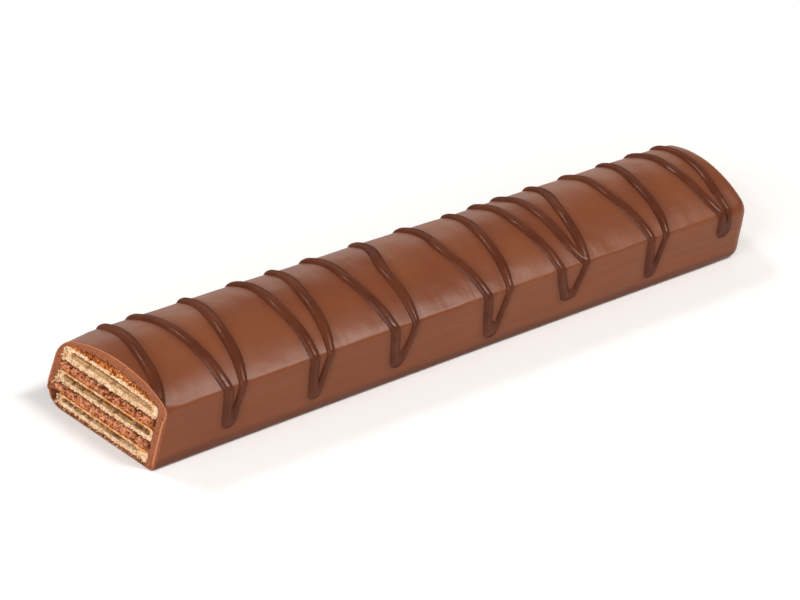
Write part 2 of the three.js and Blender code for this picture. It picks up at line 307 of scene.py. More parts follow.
@dataclass
class CoatSkin:
    """The coat's outer surface, found by place along the bar and by station round it.

    A station is the length along the surface from the crown line, positive down the front side. Its
    share is the station over the whole length down to the floor, from -1 at the back to 1 in front.
    """

    form: BarForm
    seed: int = 3
    before_cut: float = 9.0
    sections: int = 70
    around: int = 321
    swells: Grain = Grain(11.0, 8.0, (0.0, 40.0))
    swell_height: float = 0.13
    dents: Grain = Grain(3.6, 3.0, (30.0, 11.0))
    dent_height: float = 0.045
    bands: Grain = Grain(13.0, 1.1, (60.0, 5.0))
    band_height: float = 0.055
    side_stations: Span = (11.4, 13.0)
    foot_stations: Span = (20.2, 21.4)
    neighbour: float = 0.004
    cut_rounds: int = 4

    def __post_init__(self) -> None:
        """Tabulates the section along the bar."""
        self.noise = Unevenness(self.seed)
        self.xs = np.linspace(-self.form.far - self.before_cut, self.form.far, self.sections)
        self.shares = np.linspace(-1.0, 1.0, self.around)
        self.places = np.zeros((self.sections, self.around, 2))
        self.reach = np.zeros((self.sections, 2))
        for row, x in enumerate(self.xs):
            for side, edge in enumerate((BACK, FRONT)):
                half = self.form.half_outline(edge, float(x))
                length = run_along(half)[-1]
                mine = self.shares <= 0 if edge is BACK else self.shares >= 0
                self.places[row, mine] = points_at(np.abs(self.shares[mine]) * length, half)
                self.reach[row, side] = length

    def half_length(self, x: Array, signed: Array) -> Array:
        """The skin's length from crown to floor, at the back for negative numbers and else in front."""
        back, front = (np.interp(x, self.xs, self.reach[:, side]) for side in range(2))
        return np.where(signed < 0, back, front)

    def share_of(self, x: Array, station: Array) -> Array:
        """Turns stations into shares."""
        return station / self.half_length(x, station)

    def station_of(self, x: Array, share: Array) -> Array:
        """Turns shares into stations."""
        return share * self.half_length(x, share)

    def section_at(self, x: Array, share: Array) -> Array:
        """Smooth points (y, z).

        Args:
            x: places along the bar.
            share: shares round it.

        Returns:
            The section's points there, between those of the table.
        """
        just_inside = 1.001
        row = np.clip((x - self.xs[0]) / (self.xs[1] - self.xs[0]), 0, self.sections - just_inside)
        column = (share + 1) / (self.shares[1] - self.shares[0])
        column = np.clip(column, 0, self.around - just_inside)
        low_row, low_column = row.astype(int), column.astype(int)
        part_row, part_column = (row - low_row)[..., None], (column - low_column)[..., None]
        near, far = (
            blend(self.places[line, low_column], self.places[line, low_column + 1], part_column)
            for line in (low_row, low_row + 1)
        )
        return blend(near, far, part_row)

    def relief(self, x: Array, station: Array) -> Array:
        """How far the skin swells out or sinks in.

        Args:
            x: places along the bar.
            station: stations round it.

        Returns:
            Heights along the outward normal.
        """
        height = self.swell_height * self.noise.waves(self.swells, x, station)
        height = height + self.dent_height * self.noise.waves(self.dents, x, station)
        on_side = smoothstep(np.abs(station), *self.side_stations)
        height = height + self.band_height * on_side * self.noise.waves(self.bands, x, station)
        return height * falling(np.abs(station), *self.foot_stations)

    def outward(self, x: Array, share: Array) -> Array:
        """The skin's normals (y, z) at places along the bar and shares round it."""
        after = self.section_at(x, np.minimum(share + self.neighbour, 1))
        along = after - self.section_at(x, np.maximum(share - self.neighbour, -1))
        normal = np.stack([along[..., 1], -along[..., 0]], -1)
        return normal / np.maximum(np.linalg.norm(normal, axis=-1, keepdims=True), 1e-9)

    def surface(self, x: Array, share: Array) -> Array:
        """Points (x, y, z) of the uneven skin, at places along the bar and shares round it."""
        height = self.relief(x, self.station_of(x, share))
        moved = self.section_at(x, share) + self.outward(x, share) * height[..., None]
        return np.concatenate([np.asarray(x)[..., None], moved], -1)

    def at_cut(self, share: Array) -> Array:
        """Where the skin meets the cut along the bar, for each share."""
        x = np.full_like(share, -self.form.far)
        for _ in range(self.cut_rounds):
            place = self.surface(x, share)
            x = self.form.cut_x(place[:, 1], place[:, 2])
        return x


# Meshes


def origin_shift() -> float:
    """How far the part's frame lies from the bar's middle: the far end's place less half the length."""
    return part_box("chocolate_coat")[1].x / MM - BarForm().far


def shifted(points: Array) -> Array:
    """Points (x, y, z) from the bar's middle, as points in the part's frame."""
    return points + np.array([origin_shift(), 0.0, 0.0])


def linked(name: str, data: bpy.types.ID) -> Object:
    """Puts a mesh, light or camera in the scene under a name."""
    made = bpy.data.objects.new(name, data)
    bpy.context.scene.collection.objects.link(made)
    return made


def mesh_object(
    name: str, points: Array, edges: Sequence[Face] = (), faces: Sequence[Face] = ()
) -> Object:
    """Makes a mesh of points, edges and faces.

    Args:
        name: its name.
        points: its corners in millimetres.
        edges: corner numbers of its loose edges.
        faces: corner numbers of its faces.

    Returns:
        The object, at the origin, with its place in its mesh.
    """
    mesh = bpy.data.meshes.new(name)
    mesh.from_pydata((points * MM).tolist(), edges, faces)
    return linked(name, mesh)


def closed_object(name: str, points: Array, faces: list[Face]) -> Object:
    """Makes a smooth closed mesh whose faces point outwards.

    Args:
        name: the piece's name.
        points: corners in millimetres, with x from the bar's middle.
        faces: corner numbers of each face, all wound the same way.

    Returns:
        The object.
    """
    quads = np.array([face if len(face) == 4 else (*face, face[-1]) for face in faces])
    a, b, c, d = (points[quads[:, i]] for i in range(4))
    volume = np.einsum("ij,ij->i", a, np.cross(b, c)).sum() + np.einsum("ij,ij->i", a, np.cross(c, d)).sum()
    wound = [face if volume > 0 else face[::-1] for face in faces]
    made = mesh_object(name, shifted(points), faces=wound)
    made.data.polygons.foreach_set("use_smooth", [True] * len(faces))
    made.data.update()
    return made


def store(made: Object, name: str, values: Array) -> None:
    """Keeps values for the corners of a mesh.

    Args:
        made: the mesh's object.
        name: the name under which a finish or a node tree reads them.
        values: a number for each corner, or a vector in a last axis of three.
    """
    is_vector = values.size == 3 * len(made.data.vertices)
    attribute = made.data.attributes.new(name, VECTOR if is_vector else "FLOAT", "POINT")
    flat = np.ascontiguousarray(values, dtype=np.float32).ravel()
    attribute.data.foreach_set("vector" if is_vector else "value", flat)


def numbered(shape: tuple[int, int]) -> Array:
    """The numbers of a grid's points, row by row."""
    return np.arange(shape[0] * shape[1]).reshape(shape)


def grid_faces(number: Array) -> list[Face]:
    """Four-sided faces over a grid of point numbers."""
    corners = (number[:-1, :-1], number[1:, :-1], number[1:, 1:], number[:-1, 1:])
    return [tuple(face) for face in np.stack(corners, -1).reshape(-1, 4).tolist()]


def loop_faces(number: Array) -> list[Face]:
    """Four-sided faces between closed loops of point numbers, one loop to a row."""
    return grid_faces(np.column_stack([number, number[:, 0]]))


def fan(centre: int, ring: Array) -> list[Face]:
    """Three-sided faces from a centre to a closed ring of point numbers."""
    return [(centre, *pair) for pair in zip(ring.tolist(), np.roll(ring, -1).tolist())]


# Node trees


def operator(operation: str, swapped: bool = False) -> Callable[["Number", Any], "Number"]:
    """Makes an operator of numbers.

    Args:
        operation: the Math node's operation.
        swapped: whether the number stands on the right.

    Returns:
        The method that adds the node.
    """

    def applied(number: "Number", other: Any) -> "Number":
        """The sum of a number and another value."""
        values = (other, number) if swapped else (number, other)
        return number.sum_of(operation, *values)

    return applied


class Number:
    """A number socket that takes part in sums: each operator adds a Math node."""

    __add__, __radd__ = operator("ADD"), operator("ADD", swapped=True)
    __sub__, __rsub__ = operator("SUBTRACT"), operator("SUBTRACT", swapped=True)
    __mul__, __rmul__ = operator("MULTIPLY"), operator("MULTIPLY", swapped=True)
    __truediv__, __pow__ = operator("DIVIDE"), operator("POWER")

    def __init__(self, nodes: "Nodes", socket: NodeSocket) -> None:
        """Wraps a socket of a tree."""
        self.nodes = nodes
        self.socket = socket

    def sum_of(self, operation: str, *values: Any) -> "Number":
        """Adds one Math node with its operation and its inputs in order."""
        node = self.nodes.add("ShaderNodeMath", dict(enumerate(values)), operation=operation)
        return Number(self.nodes, node.outputs[0])

    def melted(self, other: Any, softness: Any) -> "Number":
        """The larger of two numbers, rounded over where they are nearly alike."""
        return self.sum_of("SMOOTH_MAX", self, other, softness)

    def between(self, low: float, high: float) -> "Number":
        """Rises smoothly from 0 at low to 1 at high."""
        inputs = {"Value": self, "From Min": low, "From Max": high, "To Min": 0.0, "To Max": 1.0}
        node = self.nodes.add("ShaderNodeMapRange", inputs, interpolation_type="SMOOTHSTEP")
        return Number(self.nodes, node.outputs[0])


class Nodes:
    """Builds a node tree, for a material or for geometry."""

    def __init__(self, tree: NodeTree) -> None:
        """Takes the tree and clears it."""
        self.tree = tree
        tree.nodes.clear()

    @classmethod
    def of_geometry(cls, name: str, sockets: dict[str, str], result: str) -> tuple["Nodes", Node]:
        """Starts a tree for geometry.

        Args:
            name: the tree's name.
            sockets: the kinds of its inputs by name.
            result: the name of its output.

        Returns:
            The tree's builder and the node that gives its inputs.
        """
        tree = bpy.data.node_groups.new(name, "GeometryNodeTree")
        for socket, kind in sockets.items():
            tree.interface.new_socket(socket, in_out="INPUT", socket_type="NodeSocket" + kind)
        tree.interface.new_socket(result, in_out="OUTPUT", socket_type="NodeSocketGeometry")
        nodes = cls(tree)
        return nodes, nodes.add("NodeGroupInput")

    def add(self, kind: str, inputs: dict[Any, Any] | None = None, **settings: Any) -> Node:
        """Adds a node.

        Args:
            kind: the node's type.
            inputs: values or links of its sockets, by name or number.
            settings: its own settings, which are set first.

        Returns:
            The node.
        """
        node = self.tree.nodes.new(kind)
        for name, value in settings.items():
            setattr(node, name, value)
        for key, value in (inputs or {}).items():
            self.plug(node.inputs[key], value)
        return node

    def plug(self, socket: NodeSocket, value: Any) -> None:
        """Links a socket to a number, a node or another socket, or sets its value.

        Args:
            socket: the socket.
            value: what it gets.
        """
        if isinstance(value, Number):
            value = value.socket
        if isinstance(value, Node):
            value = value.outputs[0]
        if isinstance(value, NodeSocket):
            self.tree.links.new(value, socket)
        else:
            socket.default_value = value

    def number(self, node: Node, output: Any = 0) -> Number:
        """A node's output as a number for sums."""
        return Number(self, node.outputs[output])

    def attribute(self, name: str) -> Number:
        """A number stored on the mesh, for a material."""
        return self.number(self.add("ShaderNodeAttribute", attribute_name=name), "Fac")

    def stored(self, name: str, kind: str = "FLOAT") -> NodeSocket:
        """A number or a vector stored on the mesh, for a geometry tree."""
        return self.add("GeometryNodeInputNamedAttribute", {"Name": name}, data_type=kind).outputs[0]

    def scaled(self, vector: Any, by: Any) -> NodeSocket:
        """A vector times a number."""
        inputs = {"Vector": vector, "Scale": by}
        return self.add("ShaderNodeVectorMath", inputs, operation="SCALE").outputs[0]

    def along(self, direction: Any, distance: Number, start: Any) -> NodeSocket:
        """A place some distance from a start along a direction."""
        inputs = {0: start, 1: self.scaled(direction, distance)}
        return self.add("ShaderNodeVectorMath", inputs, operation="ADD").outputs[0]

    def noise(self, place: Any, waves: float | Waves, detail: float = 3.0) -> Number:
        """Noise from 0 to 1.

        Args:
            place: where it is read.
            waves: its waves to the metre, or those along each axis.
            detail: how much finer noise it has.

        Returns:
            The noise.
        """
        if isinstance(waves, tuple):
            place = self.add("ShaderNodeMapping", {"Vector": place, "Scale": waves})
            waves = 1.0
        inputs = {"Vector": place, "Scale": waves, "Detail": detail, "Roughness": 0.55}
        return self.number(self.add("ShaderNodeTexNoise", inputs), "Fac")

    def painted(self, base: Any, *coats: tuple[Any, Any]) -> Any:
        """Lays colours over each other.

        Args:
            base: the lowest colour.
            coats: for each colour above it, how much of it shows and the colour.

        Returns:
            The mixed colour's socket.
        """
        for share, above in coats:
            node = self.add("ShaderNodeMix", data_type="RGBA", blend_type="MIX")
            first, second = (socket for socket in node.inputs if socket.type == "RGBA")
            self.plug(node.inputs[0], share)
            self.plug(first, base)
            self.plug(second, above)
            base = next(socket for socket in node.outputs if socket.type == "RGBA")
        return base


def grown(source: Object, tree: NodeTree, sizes: dict[str, Any]) -> Object:
    """Runs a geometry node tree on an object and keeps the result as a plain mesh.

    Args:
        source: the object that the tree starts from, which is removed.
        tree: the tree.
        sizes: its inputs by name.

    Returns:
        The object with the finished mesh and no modifier.
    """
    name = source.name
    modifier = source.modifiers.new("grow", "NODES")
    modifier.node_group = tree
    for item in tree.interface.items_tree:
        if item.item_type == "SOCKET" and item.in_out == "INPUT" and item.name in sizes:
            modifier[item.identifier] = sizes[item.name]
    depsgraph = bpy.context.evaluated_depsgraph_get()
    mesh = bpy.data.meshes.new_from_object(source.evaluated_get(depsgraph))
    bpy.data.objects.remove(source)
    return linked(name, mesh)


# Finishes


def colour(red: float, green: float, blue: float) -> Colour:
    """A colour given as screen values from 0 to 255, as linear light."""
    linear = [((v / 255 + 0.055) / 1.055) ** 2.4 if v > 10 else v / 255 / 12.92 for v in (red, green, blue)]
    return (linear[0], linear[1], linear[2], 1.0)


WHITE: Colour = (1.0, 1.0, 1.0, 1.0)


@dataclass(frozen=True)
class Surface:
    """What a finish gives its shader; its relief is a height of 0 to 1 or so times a depth."""

    tint: Any
    roughness: Any
    gloss: float
    height: Any = None
    strength: float = 1.0
    depth: float = 1.0


@dataclass(frozen=True)
class Finish:
    """A material built from nodes; each kind of finish says how its own surface looks."""

    name: str

    def surface(self, nodes: Nodes, place: NodeSocket) -> Surface:
        """What the shader gets, built in the material's tree from object coordinates."""
        raise NotImplementedError

    def build(self) -> Material:
        """Makes the material."""
        made = bpy.data.materials.new(self.name)
        made.use_nodes = True
        nodes = Nodes(made.node_tree)
        look = self.surface(nodes, nodes.add("ShaderNodeTexCoord").outputs["Object"])
        inputs = {"Base Color": look.tint, "Roughness": look.roughness, "Specular IOR Level": look.gloss}
        if look.height is not None:
            relief = {"Strength": look.strength, "Distance": look.depth * MM, "Height": look.height}
            inputs["Normal"] = nodes.add("ShaderNodeBump", relief)
        shader = nodes.add("ShaderNodeBsdfPrincipled", inputs)
        nodes.add("ShaderNodeOutputMaterial", {"Surface": shader})
        return made


@dataclass(frozen=True)
class MilkChocolate(Finish):
    """Satin milk chocolate, streaked down its sides, lighter and duller where it is cut, and with a painted
    highlight along the cut's lip.
    """

    name: str = Food.MILK.value
    skin: Colour = colour(125, 70, 42)
    deep: Colour = colour(115, 61, 36)
    bloom: Colour = colour(137, 83, 54)
    bloom_share: float = 0.25
    flank: Colour = colour(128, 67, 29)
    flank_share: float = 0.6
    streak_share: float = 0.5
    darker_beside_thread: Colour = colour(95, 47, 27)
    beside_thread_share: float = 0.5
    # painted shade colour for the coat's foot, where it meets the floor
    low: Colour = colour(92, 47, 28)
    foot_shade_share: float = 0.85
    cut: Colour = colour(158, 93, 61)
    cut_dark: Colour = colour(138, 77, 46)
    # painted highlight colour, laid along the cut's lip by the rim mask
    edge: Colour = colour(206, 132, 92)
    # painted shade colour for the hollows of the cut edge
    pit_shade: Colour = colour(76, 32, 17)
    pit_shade_share: float = 0.95
    broad_waves: float = 60.0
    fine_waves: float = 900.0
    cut_waves: float = 2600.0
    streak_waves: Waves = (55.0, 300.0, 850.0)
    swell_waves: Waves = (130.0, 90.0, 90.0)
    flow_waves: Waves = (420.0, 70.0, 70.0)
    dimple_waves: float = 420.0
    grit_waves: float = 3500.0
    patches: Span = (0.35, 0.65)
    blooming: Span = (0.55, 0.8)
    streaking: Span = (0.42, 0.7)
    cut_patches: Span = (0.4, 0.65)
    swell: float = 0.5
    flow: float = 0.10
    streak: float = 0.10
    dimple: float = 0.014
    speckle: float = 0.008
    grit: float = 0.002
    cut_grit: float = 0.003
    sheen: float = 0.24
    gloss: float = 0.22

    def surface(self, nodes: Nodes, place: NodeSocket) -> Surface:
        """The look of the surface.

        Args:
            nodes: the material's tree.
            place: object coordinates.

        Returns:
            What the shader gets.
        """
        cut, rim, gap = (nodes.attribute(name) for name in ("cut", "rim", "gap"))
        foot, side, beside = (nodes.attribute(name) for name in ("foot", "side", "beside"))
        broad = nodes.noise(place, self.broad_waves, 2.0)
        fine = nodes.noise(place, self.fine_waves, 4.0)
        streaky = nodes.noise(place, self.streak_waves)
        outside = nodes.painted(
            self.deep,
            (broad.between(*self.patches), self.skin),
            (fine.between(*self.blooming) * self.bloom_share, self.bloom),
            (side * self.flank_share, self.flank),
            (side * streaky.between(*self.streaking) * self.streak_share, self.deep),
            # darker band on the coat beside the thread
            (beside * self.beside_thread_share, self.darker_beside_thread),
            # the foot mask lays painted shade low along the coat
            (foot * self.foot_shade_share, self.low),
        )
        cut_patches = nodes.noise(place, self.cut_waves, 5.0).between(*self.cut_patches)
        # the gap mask lays painted shade in the cut edge's hollows
        inside = nodes.painted(self.cut_dark, (cut_patches, self.cut), (gap * self.pit_shade_share, self.pit_shade))
        # the rim mask lays a painted highlight along the cut's lip
        tint = nodes.painted(outside, (cut, inside), (rim, self.edge))
        rough = self.sheen + 0.20 * broad + 0.06 * fine + 0.3 * cut
        swells = self.swell * (nodes.noise(place, self.swell_waves, 1.0) - 0.5)
        flow = self.flow * (nodes.noise(place, self.flow_waves, 2.0) - 0.5)
        height = (swells + flow) * (1 - side) + self.streak * side * (streaky - 0.5)
        height = height + self.dimple * nodes.noise(place, self.dimple_waves) + self.speckle * fine
        height = height + nodes.noise(place, self.grit_waves) * (self.grit + self.cut_grit * cut)
        return Surface(tint, rough, self.gloss, height)


@dataclass(frozen=True)
class DarkDrizzle(Finish):
    """Darker chocolate thread with a soft gloss, which is duller where it turns away."""

    name: str = Food.DARK.value
    body: Colour = colour(95, 48, 28)
    deep: Colour = colour(82, 39, 22)
    patches: Span = (0.3, 0.7)
    broad_waves: float = 180.0
    fine_waves: float = 1200.0
    turning_away: Span = (0.3, 0.75)
    sheen: float = 0.22
    dull: float = 0.6
    gloss: float = 0.145
    strength: float = 0.3
    depth: float = 0.05

    def surface(self, nodes: Nodes, place: NodeSocket) -> Surface:
        """The look of the surface.

        Args:
            nodes: the material's tree.
            place: object coordinates.

        Returns:
            What the shader gets.
        """
        broad = nodes.noise(place, self.broad_waves, 2.0)
        fine = nodes.noise(place, self.fine_waves)
        tint = nodes.painted(self.deep, (broad.between(*self.patches), self.body))
        facing = nodes.number(nodes.add("ShaderNodeLayerWeight", {"Blend": 0.5}), "Facing")
        rough = self.sheen + 0.08 * fine + self.dull * facing.between(*self.turning_away)
        return Surface(tint, rough, self.gloss, fine, self.strength, self.depth)


@dataclass(frozen=True)
class BakedWafer(Finish):
    """Baked wafer: pale crisp skins, an airy khaki middle in shade and a browned crust."""

    name: str = Food.WAFER.value
    pale: Colour = colour(226, 191, 149)
    bright: Colour = colour(250, 216, 192)
    golden: Colour = colour(204, 133, 74)
    airy: Colour = colour(206, 164, 116)
    # dark specks on the pale bands, and painted shadow in the slot
    airy_dark_and_shadow: Colour = colour(106, 60, 20)
    browned: Colour = colour(210, 132, 68)
    burnt: Colour = colour(142, 66, 28)
    speck: Colour = colour(246, 208, 164)
    shade: Colour = colour(60, 21, 7)
    shade_share: float = 0.95
    fine_waves: float = 2400.0
    patch_waves: float = 900.0
    baked_waves: float = 320.0
    golden_patches: Span = (0.45, 0.7)
    bright_specks: Span = (0.5, 0.65)
    dark_specks: Span = (0.62, 0.75)
    skin_patches: Span = (0.4, 0.6)
    airy_range: Span = (0.25, 1.05)
    browned_range: Span = (0.2, 0.58)
    speck_range: Span = (0.66, 0.86)
    dullness: float = 0.72
    gloss: float = 0.08
    strength: float = 0.6
    depth: float = 0.12

    def surface(self, nodes: Nodes, place: NodeSocket) -> Surface:
        """The look of the surface.

        Args:
            nodes: the material's tree.
            place: object coordinates.

        Returns:
            What the shader gets.
        """
        recess, crust, skin = (nodes.attribute(name) for name in ("recess", "crust", "skin"))
        grain, gap = (nodes.attribute(name) for name in ("grain", "gap"))
        fine = nodes.noise(place, self.fine_waves)
        patch = nodes.noise(place, self.patch_waves)
        # painted shadow in the slot: the grain stored there darkens it under the roof
        shaded = (0.8 * grain + 0.5 * fine).between(*self.airy_range)
        baked = 0.6 * grain + 0.3 * fine + 0.9 * (nodes.noise(place, self.baked_waves, 2.0) - 0.5)
        inside = nodes.painted(self.airy, (shaded, self.airy_dark_and_shadow))
        brown = nodes.painted(
            self.burnt,
            (baked.between(*self.browned_range), self.browned),
            (baked.between(*self.speck_range), self.speck),
        )
        tint = nodes.painted(
            self.pale,
            (patch.between(*self.golden_patches) * 0.6, self.golden),
            (fine.between(*self.bright_specks) * 0.8, self.bright),
            ((1.1 - fine).between(*self.dark_specks) * 0.5, self.airy_dark_and_shadow),
            (skin * (0.35 + 0.65 * patch.between(*self.skin_patches)), self.golden),
            (recess, inside),
            (crust, brown),
            (gap * self.shade_share, self.shade),
        )
        rough = self.dullness + 0.15 * fine
        return Surface(tint, rough, self.gloss, fine, self.strength, self.depth)


@dataclass(frozen=True)
class HazelnutCream(Finish):
    """Grainy reddish brown cream, more orange where it touches the wafer below."""

    name: str = Food.CREAM.value
    body: Colour = colour(178, 106, 66)
    light: Colour = colour(220, 154, 116)
    dark: Colour = colour(122, 58, 28)
    toasted: Colour = colour(200, 110, 45)
    shade: Colour = colour(55, 16, 5)
    shade_share: float = 0.95
    fine_waves: float = 2600.0
    light_specks: Span = (0.55, 0.85)
    dark_specks: Span = (0.55, 0.8)
    dullness: float = 0.6
    gloss: float = 0.14
    strength: float = 0.5
    depth: float = 0.1

    def surface(self, nodes: Nodes, place: NodeSocket) -> Surface:
        """The look of the surface.

        Args:
            nodes: the material's tree.
            place: object coordinates.

        Returns:
            What the shader gets.
        """
        grain, gap, toast = (nodes.attribute(name) for name in ("grain", "gap", "skin"))
        fine = nodes.noise(place, self.fine_waves, 4.0)
        speckle = 0.7 * grain + 0.5 * fine
        tint = nodes.painted(
            self.body,
            (speckle.between(*self.light_specks), self.light),
            ((1.1 - speckle).between(*self.dark_specks), self.dark),
            (toast * (0.3 + 0.5 * fine), self.toasted),
            (gap * self.shade_share, self.shade),
        )
        rough = self.dullness + 0.2 * fine
        return Surface(tint, rough, self.gloss, fine, self.strength, self.depth)


@dataclass(frozen=True)
class StudioFloor(Finish):
    """Plain pale floor."""

    name: str = "studio_floor"
    tint: Colour = (0.92, 0.92, 0.92, 1.0)
    dullness: float = 0.9
    gloss: float = 0.1

    def surface(self, nodes: Nodes, place: NodeSocket) -> Surface:
        """The look of the surface, which is the same all over."""
        return Surface(self.tint, self.dullness, self.gloss)


# The poured lines of the thread


@dataclass
class PouredLines:
    """Lines drawn flat, by place along the bar and station, with the thread's half width at each point."""

    name: str
    points: list[Array] = field(default_factory=list)
    widths: list[Array] = field(default_factory=list)

    def add(self, path: Any, widths: Array) -> None:
        """Adds a line (x, station) and its half widths."""
        self.points.append(np.array(path))
        self.widths.append(widths)

    def build(self) -> Object:
        """The lines as edges, for the node tree to measure its distances from."""
        edges, count = [], 0
        for line in self.points:
            edges += [(count + i, count + i + 1) for i in range(len(line) - 1)]
            count += len(line)
        flat = np.vstack(self.points)
        made = mesh_object(self.name, np.column_stack([flat, np.zeros(len(flat))]), edges=edges)
        store(made, "half_width", np.concatenate(self.widths) * MM)
        return made


# The coat


@dataclass
class Filling:
    """The room for the layers inside the coat: a rounded box with an arched lid, seen from the cut."""

    half_width: float = 9.5
    low: float = 0.4
    high: float = 10.85
    arch: float = 1.3
    corner: float = 0.65
    lid_corner: float = 0.9
    far_wall: float = 1.85
    tilt: float = 0.016
    tilt_heights: Span = (8.0, 10.5)
    front_lean: float = 0.0055
    corner_points: int = 8
    lid_corner_points: int = 12
    lid_points: int = 60
    outline_points: int = 400

    def fitted(self, y: Array, z: Array) -> tuple[Array, Array]:
        """Moves places of an even room to the real one, with its tilted lid and its leaning front wall."""
        tilted = z + self.tilt * y * smoothstep(z, *self.tilt_heights)
        return y * (1 - self.front_lean * z * (y < 0)), tilted

    def outline(self) -> Array:
        """Points (y, z) of the room's outline, from the front corner of its floor and round."""
        corner, upper = self.corner, self.lid_corner
        span, lid_span = self.half_width - corner, self.half_width - upper
        lid_radius = (lid_span * lid_span + self.arch * self.arch) / (2 * self.arch)
        lid = math.asin(lid_span / lid_radius)
        low, high = self.low + corner, self.high - upper
        middle = (0.0, self.high + self.arch - lid_radius)
        points = np.vstack(
            [
                arc((-span, low), corner, -QUARTER, -2 * QUARTER, self.corner_points),
                arc((-lid_span, high), upper, 2 * QUARTER, QUARTER, self.lid_corner_points),
                arc(middle, lid_radius, QUARTER + lid, QUARTER - lid, self.lid_points),
                arc((lid_span, high), upper, QUARTER, 0, self.lid_corner_points),
                arc((span, low), corner, 0, -QUARTER, self.corner_points),
            ]
        )
        closed = np.vstack([points, points[:1]])
        wanted = np.linspace(0, run_along(closed)[-1], self.outline_points, endpoint=False)
        return np.column_stack(self.fitted(*points_at(wanted, closed).T))

    def facing(self, points: Array, centre: Array) -> Array:
        """The room's wall in the directions of the given points.

        Args:
            points: points (y, z) round a centre.
            centre: the centre.

        Returns:
            For each, the point of the wall on the line from the centre through it.
        """
        wall = self.outline() - centre
        angle = np.arctan2(wall[:, 1], wall[:, 0])
        order = np.argsort(angle)
        reach = np.hypot(wall[:, 0], wall[:, 1])[order]
        wanted = points - centre
        turned = np.arctan2(wanted[:, 1], wanted[:, 0])
        found = np.interp(turned, angle[order], reach, period=2 * math.pi)
        return centre + np.column_stack([np.cos(turned), np.sin(turned)]) * found[:, None]


